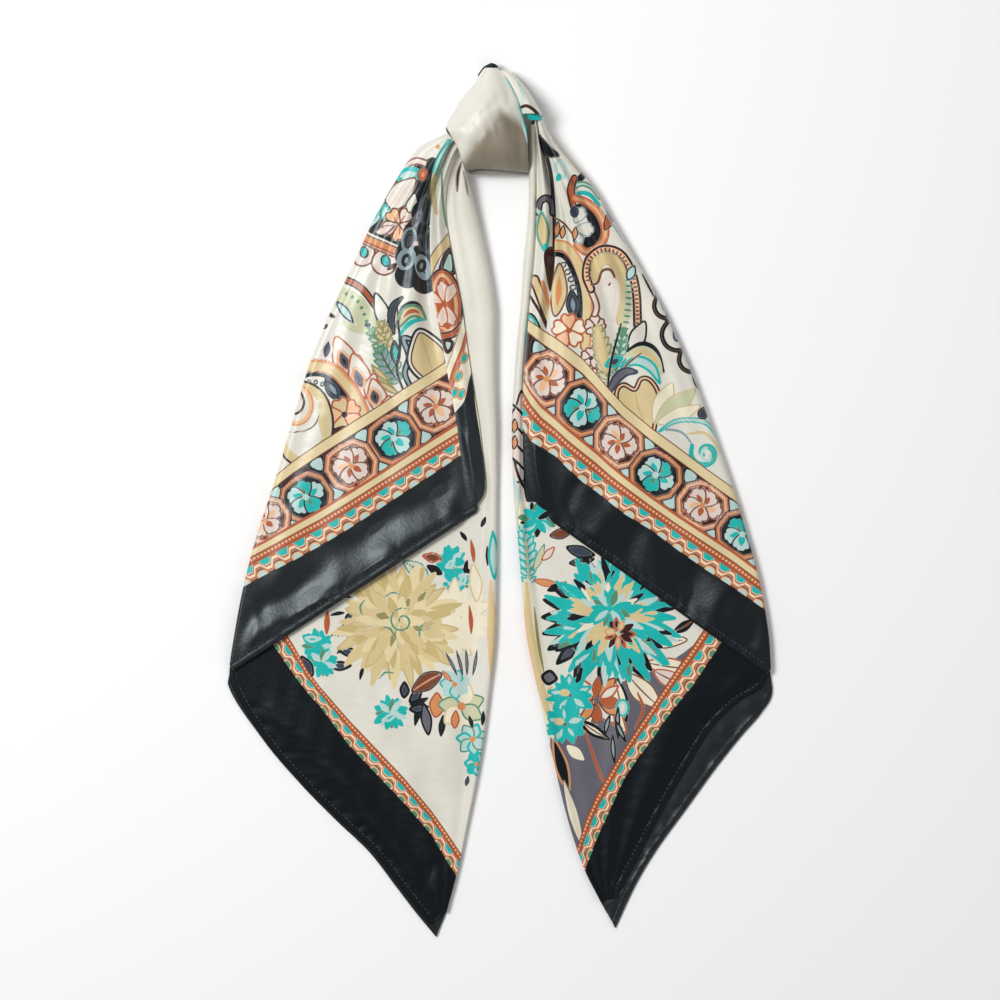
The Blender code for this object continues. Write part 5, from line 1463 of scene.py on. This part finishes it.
def plain_colour(surface, colour):
    node = surface.add("ShaderNodeRGB")
    node.outputs[0].default_value = (*colour, 1.0)
    return node.outputs[0]


def plain_silk(name, colour, sheen=0.2, gloss=0.38):
    surface = Surface(name)
    return satin(surface, plain_colour(surface, colour), sheen, gloss)


def printed_silk(name, used, trim=None, painted_shade=False, gloss=0.38):
    """Silk with its inks, the trim and border beyond it where it has one, and taupe mixed in as painted
    shade where painted_shade is set.
    """
    surface = Surface(name)
    colour = plain_colour(surface, tuple(chosen().ivory))
    # Painted shade: taupe mixed into the ground where the band turns under.
    if painted_shade:
        colour = surface.mix(surface.field("painted_shade"), colour, INKS["taupe"])
    for ink in used:
        colour = surface.mix(surface.within(surface.field("ink_" + ink)), colour, INKS[ink])
    if trim:
        top, pale = trim
        trimmed = trim_inks(surface, colour, surface.field("along"), surface.field("up"), top, pale)
        colour = surface.mix(surface.field("banded"), colour, trimmed)
    return satin(surface, colour, 0.12, gloss)


def ink_fields(*prints):
    """The inks that are used on a grid's stretches of print, side by side, as named fields."""
    used = [ink for ink in INKS if any(p.inks[ink].min() < CLEAR for p, _ in prints)]
    fields = {}
    for ink in used:
        parts = [p.inks[ink].reshape(shape) for p, shape in prints]
        fields["ink_" + ink] = np.concatenate(parts, axis=1).ravel()
    return used, fields


def make_upper(side, parts, field, pleat, wrapped, seed):
    """The folded-over layer with its pleat and its rolled hem. wrapped: the bands cross the pleat."""
    bundle, folds, creases, pleat_creases, bands, way, medallions = parts
    points, prints = drape_points(bundle, folds, creases, pleat_creases, seed)
    split = NOSE_COLUMNS + DRAPE_COLUMNS
    reach = np.linalg.norm(points - points[-1:], axis=-1)
    gathers = puckers(run_along(points[-1, :, :2])[None] + np.zeros_like(reach), reach, seed)
    inside = NOSE_COLUMNS + 4
    points[:, inside:, 2] += gathers[:, inside:]
    width = np.minimum(1.0, (np.arange(points.shape[1])[::-1] + 0.5) / PLEAT_COLUMNS)
    width = np.sqrt(1 - (1 - width) ** 2)
    away = plan(bundle, "valley", np.array([0.6]))[0, 0]
    stitches = stitched(side + "_upper_stitches", [points[-1, NOSE_COLUMNS + 3:split - 4]])
    points, prints = hemmed(points, prints, UPPER_HEM, width, NOSE_COLUMNS, away)
    rows = points.shape[0]
    drape, turn = (Print(part.reshape(-1, 2)) for part in (prints[:, :split], prints[:, split:]))
    field(drape)
    pleat(turn)
    levels, banded = [], []
    for cloth, crossed in ((drape, True), (turn, wrapped)):
        up = band_places(*cloth.spots.T, bands)
        if crossed:
            medallion_band(cloth, up, way, bands, medallions, 9)
        levels.append(up.reshape(rows, -1))
        banded.append(np.full(levels[-1].shape, float(crossed)))
    used, fields = ink_fields((drape, (rows, split)), (turn, (rows, -1)))
    fields.update(along=prints.reshape(-1, 2) @ np.array(way),
                  up=np.concatenate(levels, axis=1).ravel(),
                  banded=np.concatenate(banded, axis=1).ravel())
    material = printed_silk(side + " paisley silk", used, (15.8, True), gloss=0.34 if wrapped else 0.6)
    piece = add_cloth(side + "_upper_cloth", points, material, fields)
    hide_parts(side + "_upper_drape", side + "_upper_hem")


def make_front(side, parts, flowers, roll_print_and_shadow, seed):
    """The diagonal fold's roll and the layer that comes out below, with its rolled hem."""
    bundle, lower, creases, trim, way = parts
    below = lower_points(lower, creases, seed)
    roll = roll_points(bundle)
    columns = roll.shape[1]
    joint = below[0, -columns:]
    share = ease((np.linspace(0, 1, ROLL_ROWS) - 0.8) / 0.2)[:, None, None]
    roll = roll + share * (joint - roll[-1])
    spots = below[..., :2].reshape(-1, 2)
    cloth = Print(spots)
    flowers(cloth)
    up = np.interp(spots[:, 0], trim["x"], trim["outer"])
    inner = np.interp(spots[:, 0], trim["x"], trim["inner"])
    up = (spots[:, 1] - up) / (inner - up) * LOWER_TRIM
    used, fields = ink_fields((cloth, (below.shape[0], -1)))
    fields.update(along=spots @ np.array(way), up=up, banded=np.ones(len(spots)))
    material = printed_silk(side + " flowered silk", used, (LOWER_TRIM, False), gloss=0.2)
    stitch_line = below[int(0.14 * LOWER_ROWS):-8, len(LOWER_HEM["out"])]
    stitches = stitched(side + "_front_stitches", [stitch_line])
    piece = add_cloth(side + "_front_cloth", below, material, fields)
    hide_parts(side + "_lower_drape", side + "_lower_hem")
    turn = Print(roll[..., :2].reshape(-1, 2))
    roll_print_and_shadow(turn)
    used, fields = ink_fields((turn, (roll.shape[0], -1)))
    band = add_cloth(side + "_roll_cloth", roll, printed_silk(side + " rolled silk", used), fields)
    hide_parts(side + "_inner_roll")


# The hem of the layer underneath: how far in from its edge, and how high.
BACK_HEM = table("inward high", [
    (0, 0.9), (0.4, 1.25), (1.2, 1.45), (2.6, 1.5), (3.8, 1.45), (4.7, 1.3), (5.3, 1.2),
])


# Its rows above and below the place where it comes out, how far it lies in from the folds that
# cover it, and over how many rows and millimetres its hem begins.
HIDDEN_ROWS, HIDDEN_END, SHOWN_FROM = 60, 0.88, 0.125
HIDDEN_INSET, SHOWN_INSET = 2.5, 1.25
HEM_BEGINS = 14


def make_back(side, bundle, lower, under, nodes):
    """The layer that rests on the floor, with its rolled hem below the upper drape."""
    upper_v, under_v = np.linspace(0, HIDDEN_END, HIDDEN_ROWS), np.linspace(SHOWN_FROM, 1, BACK_ROWS)
    rows = []
    outer, inner = plan(bundle, "outer", upper_v), plan(bundle, "inner", upper_v)
    along = (inner - outer) / np.linalg.norm(inner - outer, axis=-1, keepdims=True)
    rows.append((outer + along * HIDDEN_INSET, inner - along * HIDDEN_INSET))
    outer, inner = plan(under, "outer", under_v), plan(lower, "inner", under_v)
    along = (inner - outer) / np.linalg.norm(inner - outer, axis=-1, keepdims=True)
    rows.append((outer, inner - along * SHOWN_INSET))
    start, end = (np.concatenate([a[i] for a in rows]) for i in (0, 1))
    length = np.linalg.norm(end - start, axis=-1, keepdims=True)
    hem = np.minimum(1.0, length[..., 0] / HEM_BEGINS)
    hem_on = ease((np.arange(len(start))[:, None] - HIDDEN_ROWS - HEM_BEGINS) / HEM_BEGINS)
    offsets, heights = [], []
    for inward, high in zip(*BACK_HEM.values()):
        offsets.append(inward * hem)
        heights.append(WALL + (high - WALL) * hem_on)
    w = np.linspace(0, 1, BACK_COLUMNS)[None, 1:] ** 1.3
    first = offsets[-1]
    offsets.append(first + w * (length[..., 0] - first))
    heights.append(WALL + np.zeros((len(start), BACK_COLUMNS - 1)))
    offset, height = np.concatenate(offsets, axis=1), np.concatenate(heights, axis=1)
    points = join(start + (end - start) / length * offset[..., None], height)
    room = np.linalg.norm(plan(lower, "outer", under_v) - plan(under, "outer", under_v), axis=-1)
    room = np.concatenate([np.zeros((HIDDEN_ROWS, 1)), room])
    run = run_along(start[:, 0])
    lift = 0.5 + 0.5 * ripple(points[..., 0], points[..., 1], 61, 12.0)
    lift = lift + puckers(run[:, None] + np.zeros_like(offset), offset - 4, 67)
    shown = ease((room - offset - 1) / 5) * ease(offset / 3)
    points[..., 2] += shown * np.maximum(lift, 0)
    stitches = []
    if side == "right":
        stitches = [stitched("right_back_stitches", [points[90:-12, len(BACK_HEM["high"]) - 2]])]
    satin_border = plain_silk(side + " border satin", tuple(chosen().border), 0.05, 0.5)
    piece = add_cloth(side + "_back_cloth", points, satin_border, {})
    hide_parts(*nodes)


def knot_points(knot, rows, columns, left_round, right_round, seed):
    v = np.linspace(0, 1, rows)
    y, left_x, right_x, left, crown, right = (level(knot, name, v) for name in KNOT.split())
    angle = np.linspace(0, math.pi, columns)[None] + np.zeros((rows, 1))
    x = (left_x + right_x) / 2 - (right_x - left_x) / 2 * np.cos(angle)
    rising = np.sin(angle) if left_round else ease(angle / (math.pi / 2))
    falling = np.sin(angle) if right_round else ease((math.pi - angle) / (math.pi / 2))
    z = np.where(angle < math.pi / 2, left + (crown - left) * rising, right + (crown - right) * falling)
    z = z + 0.35 * ripple(x * 1.5 + y * 0.4, y, seed, 14.0) * np.sin(angle) * ease(v * 8)[:, None]
    return np.stack([x, y + np.zeros_like(x), z], axis=-1)


# Where the band turns under and lies in shade, which is painted on it in taupe as painted shade, and its
# creases.
KNOT_SHADE = curve([(-21, 254), (-13, 265), (-5, 275), (1, 281), (9, 277), (16, 272), (26, 262), (26, 232),
                    (-26, 232)], 4, True)
KNOT_CREASES = table(CREASE, [
    (-24, 250, 2, 283, 2, 3.6, -1.6),
    (0, 283, 20, 266, -2, 3.4, -1.2),
    (-36, 268, -2, 300, -3, 5, 1.2),
    (-34, 262, 4, 292, 1, 4, -0.9),
    (-8, 276, -12, 240, 2, 4, -1),
    (4, 278, 6, 240, -2, 4, 1),
    (13, 272, 14, 240, 1, 3, -0.8),
    (-2, 312, 6, 284, 3, 3, -0.9),
])


def make_knot_piece(name, node, points, paint, finish, painted_shade=None):
    cloth = Print(points[..., :2].reshape(-1, 2))
    paint(cloth)
    used, fields = ink_fields((cloth, (points.shape[0], -1)))
    # Painted shade on the band: full from about 4 mm inside the outline, gone by 5 mm outside it.
    if painted_shade is not None:
        fields["painted_shade"] = ease(0.55 - outline_gap(cloth.spots, painted_shade) / 9)
    piece = add_cloth(name, points, printed_silk(finish, used, painted_shade=painted_shade is not None), fields)
    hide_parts(node)
    return piece


def make_ring_piece(name, node, rings, material):
    """A small closed piece through rings of points."""
    rings = np.array(rings)
    bm = grid_mesh(np.concatenate([rings, rings[:, :1]], axis=1))
    bmesh.ops.remove_doubles(bm, verts=bm.verts, dist=1e-6)
    bmesh.ops.holes_fill(bm, edges=[e for e in bm.edges if e.is_boundary], sides=0)
    bmesh.ops.recalc_face_normals(bm, faces=bm.faces)
    piece = put(name, bm, material)
    piece.data.shade_smooth()
    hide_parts(node)
    return piece


RIPPLE_HEIGHT = 0.3 * MM
STITCH_PITCH = 3.4 * MM
LENGTH = {"unit": "LENGTH", "subtype": "DISTANCE"}
COLOUR = {"size": 3, "subtype": "COLOR"}


class ScarfSettings(bpy.types.PropertyGroup):
    """What a user would change about the scarf."""
    ripple_height: FloatProperty(
        name="Ripple height", description="How high the small ripples stand", default=RIPPLE_HEIGHT,
        **LENGTH)
    crease_depth: FloatProperty(
        name="Crease depth", description="Share of the laid creases' full depth", default=1.0,
        subtype="FACTOR")
    wall: FloatProperty(
        name="Wall", description="Thickness of each layer of cloth", default=WALL * MM,
        **LENGTH)
    stitch: FloatProperty(
        name="Stitch", description="From one hem stitch to the next", default=STITCH_PITCH,
        **LENGTH)
    ivory: FloatVectorProperty(
        name="Ivory", description="Ground colour of the print", default=IVORY, **COLOUR)
    border: FloatVectorProperty(
        name="Border", description="Colour of the plain border", default=BORDER, **COLOUR)
    thread: FloatVectorProperty(
        name="Thread", description="Colour of the hem's thread", default=THREAD, **COLOUR)


class SCARF_OT_upper(bpy.types.Operator):
    """Lays the two folded-over upper drapes"""
    bl_idname = "scarf.upper"
    bl_label = "Upper drapes"

    def execute(self, context):
        left = (LEFT_BUNDLE, LEFT_FOLDS, LEFT_CREASES, LEFT_PLEAT_CREASES, LEFT_BANDS, LEFT_WAY,
                LEFT_MEDALLIONS)
        make_upper("left", left, left_field, left_pleat, False, 11)
        right = (RIGHT_BUNDLE, RIGHT_FOLDS, RIGHT_CREASES, RIGHT_PLEAT_CREASES, RIGHT_BANDS, RIGHT_WAY,
                 RIGHT_MEDALLIONS)
        make_upper("right", right, right_field, right_pleat, True, 23)
        return {"FINISHED"}


class SCARF_OT_front(bpy.types.Operator):
    """Lays the two lower drapes with the roll of the diagonal fold"""
    bl_idname = "scarf.front"
    bl_label = "Lower drapes"

    def execute(self, context):
        left = LEFT_BUNDLE, LEFT_LOWER, LEFT_LOWER_CREASES, LEFT_TRIM, LEFT_LOWER_WAY
        make_front("left", left, left_lower, left_roll, 31)
        right = RIGHT_BUNDLE, RIGHT_LOWER, RIGHT_LOWER_CREASES, RIGHT_TRIM, RIGHT_LOWER_WAY
        make_front("right", right, right_lower, right_roll, 47)
        return {"FINISHED"}


class SCARF_OT_back(bpy.types.Operator):
    """Lays the two layers that rest on the floor"""
    bl_idname = "scarf.back"
    bl_label = "Back layers"

    def execute(self, context):
        make_back("left", LEFT_BUNDLE, LEFT_LOWER, LEFT_UNDER, ["left_under_layer"])
        make_back("right", RIGHT_BUNDLE, RIGHT_LOWER, RIGHT_UNDER,
                  ["right_under_layer", "right_under_hem"])
        return {"FINISHED"}


class SCARF_OT_knot(bpy.types.Operator):
    """Ties the knot's visible turns"""
    bl_idname = "scarf.knot"
    bl_label = "Knot"

    def execute(self, context):
        band = knot_points(KNOT_BAND, KNOT_ROWS, KNOT_COLUMNS, True, False, 5)
        inside = ease(np.linspace(0, 6, KNOT_COLUMNS)) * ease(np.linspace(6, 0, KNOT_COLUMNS))
        band[..., 2] += creased(band[..., 0], band[..., 1], KNOT_CREASES) * inside
        band_piece = make_knot_piece("knot_band_cloth", "knot_band", band, knot_print_and_shadow, "knot band silk",
                                     KNOT_SHADE)
        fold = knot_points(KNOT_SIDE, 50, 40, False, True, 7)
        side_piece = make_knot_piece("knot_side_cloth", "knot_side_fold", fold, side_print, "knot side silk")
        rings = []
        for v in np.linspace(0, 1, 24):
            y, start, end, low, high = (float(at(KNOT_TUCK, name, np.array([v]))[0]) for name in KNOT_TUCK)
            ring = []
            for angle in np.linspace(0, 2 * math.pi, 33)[:-1]:
                ring.append(((start + end) / 2 - (end - start) / 2 * math.cos(angle), y,
                             (low + high) / 2 + (high - low) / 2 * math.sin(angle)))
            rings.append(ring)
        tuck = make_ring_piece("knot_tuck_cloth", "knot_tuck", rings, plain_silk("tuck silk", INKS["teal"]))
        rings = []
        for x, near_y, far_y, z in zip(*KNOT_TIP.values()):
            tip = z - TIP_DROOP
            rings.append([(x, near_y, z), (x, far_y, tip), (x, far_y, tip - WALL), (x, near_y, z - WALL)])
        tip_satin = plain_silk("tip satin", tuple(chosen().border))
        corner = make_ring_piece("knot_tip_cloth", "knot_tip", rings, tip_satin)
        return {"FINISHED"}


class SCARF_OT_inner(bpy.types.Operator):
    """Finishes the hidden layers of the folds and the knot"""
    bl_idname = "scarf.inner"
    bl_label = "Hidden layers"

    def execute(self, context):
        # The hidden layers get the ivory darkened as painted shade.
        hidden = plain_silk("hidden silk", SHADE_IVORY)
        for node in ("left_fold_core", "right_fold_core", "knot_core"):
            core = bpy.data.objects[node]
            core.data.materials.clear()
            core.data.materials.append(hidden)
        return {"FINISHED"}


CAMERA_LENS = 400.0
CAMERA_SENSOR = 36.0
VIEW_WIDTH = 727.0


class SCARF_OT_stage(bpy.types.Operator):
    """Sets the floor, the lights and the camera"""
    bl_idname = "scarf.stage"
    bl_label = "Stage"

    def execute(self, context):
        scene = context.scene
        bm = bmesh.new()
        bmesh.ops.create_grid(bm, x_segments=1, y_segments=1, size=3.0)
        mesh = bpy.data.meshes.new("floor")
        bm.to_mesh(mesh)
        bm.free()
        floor = bpy.data.objects.new("floor", mesh)
        scene.collection.objects.link(floor)
        paint = Surface("floor paint")
        paint.fit(paint.shader, {
            "Base Color": (0.98, 0.98, 0.98, 1.0),
            "Roughness": 0.9,
            "Specular IOR Level": 0.1,
        })
        mesh.materials.append(paint.material)
        floor.location.z = -0.0005
        world = bpy.data.worlds.new("studio")
        world.use_nodes = True
        world.node_tree.nodes["Background"].inputs["Color"].default_value = (1.0, 1.0, 1.0, 1.0)
        world.node_tree.nodes["Background"].inputs["Strength"].default_value = 0.28
        scene.world = world
        for name, place, size, power in (
                ("key", (-1.05, 0.62, 1.84), 0.8, 36.0), ("fill", (1.5, -0.9, 1.5), 1.5, 6.5),
                ("back", (0.4, 2.0, 1.2), 0.9, 4.0)):
            light = bpy.data.lights.new(name, "AREA")
            light.size, light.energy = size, power
            lamp = bpy.data.objects.new(name, light)
            lamp.location = place
            lamp.rotation_euler = (-Vector(place)).to_track_quat("-Z", "Y").to_euler()
            scene.collection.objects.link(lamp)
        camera = bpy.data.cameras.new("camera")
        camera.lens, camera.sensor_width = CAMERA_LENS, CAMERA_SENSOR
        camera.clip_end = 20.0
        eye = bpy.data.objects.new("camera", camera)
        eye.location = (0.0, 0.0, VIEW_WIDTH * MM * CAMERA_LENS / CAMERA_SENSOR)
        scene.collection.objects.link(eye)
        scene.camera = eye
        scene.view_settings.view_transform = "Standard"
        return {"FINISHED"}


class SCARF_PT_panel(bpy.types.Panel):
    """The scarf's pieces, in the 3D view's sidebar"""
    bl_label = "Silk square scarf"
    bl_idname = "SCARF_PT_panel"
    bl_space_type = "VIEW_3D"
    bl_region_type = "UI"
    bl_category = "Scarf"

    def draw(self, context):
        settings = context.scene.scarf
        for name in ("ripple_height", "crease_depth", "wall", "stitch", "ivory", "border", "thread"):
            self.layout.prop(settings, name)
        for operator in STEPS:
            self.layout.operator(operator.bl_idname)


STEPS = (SCARF_OT_stage, SCARF_OT_back, SCARF_OT_inner, SCARF_OT_front, SCARF_OT_upper,
         SCARF_OT_knot)
CLASSES = (ScarfSettings, *STEPS, SCARF_PT_panel)


def register():
    for part in CLASSES:
        bpy.utils.register_class(part)
    bpy.types.Scene.scarf = bpy.props.PointerProperty(type=ScarfSettings)


def unregister():
    del bpy.types.Scene.scarf
    for part in reversed(CLASSES):
        bpy.utils.unregister_class(part)


def main():
    register()
    for step in STEPS:
        group, name = step.bl_idname.split(".")
        getattr(getattr(bpy.ops, group), name)()


if __name__ == "__main__":
    main()
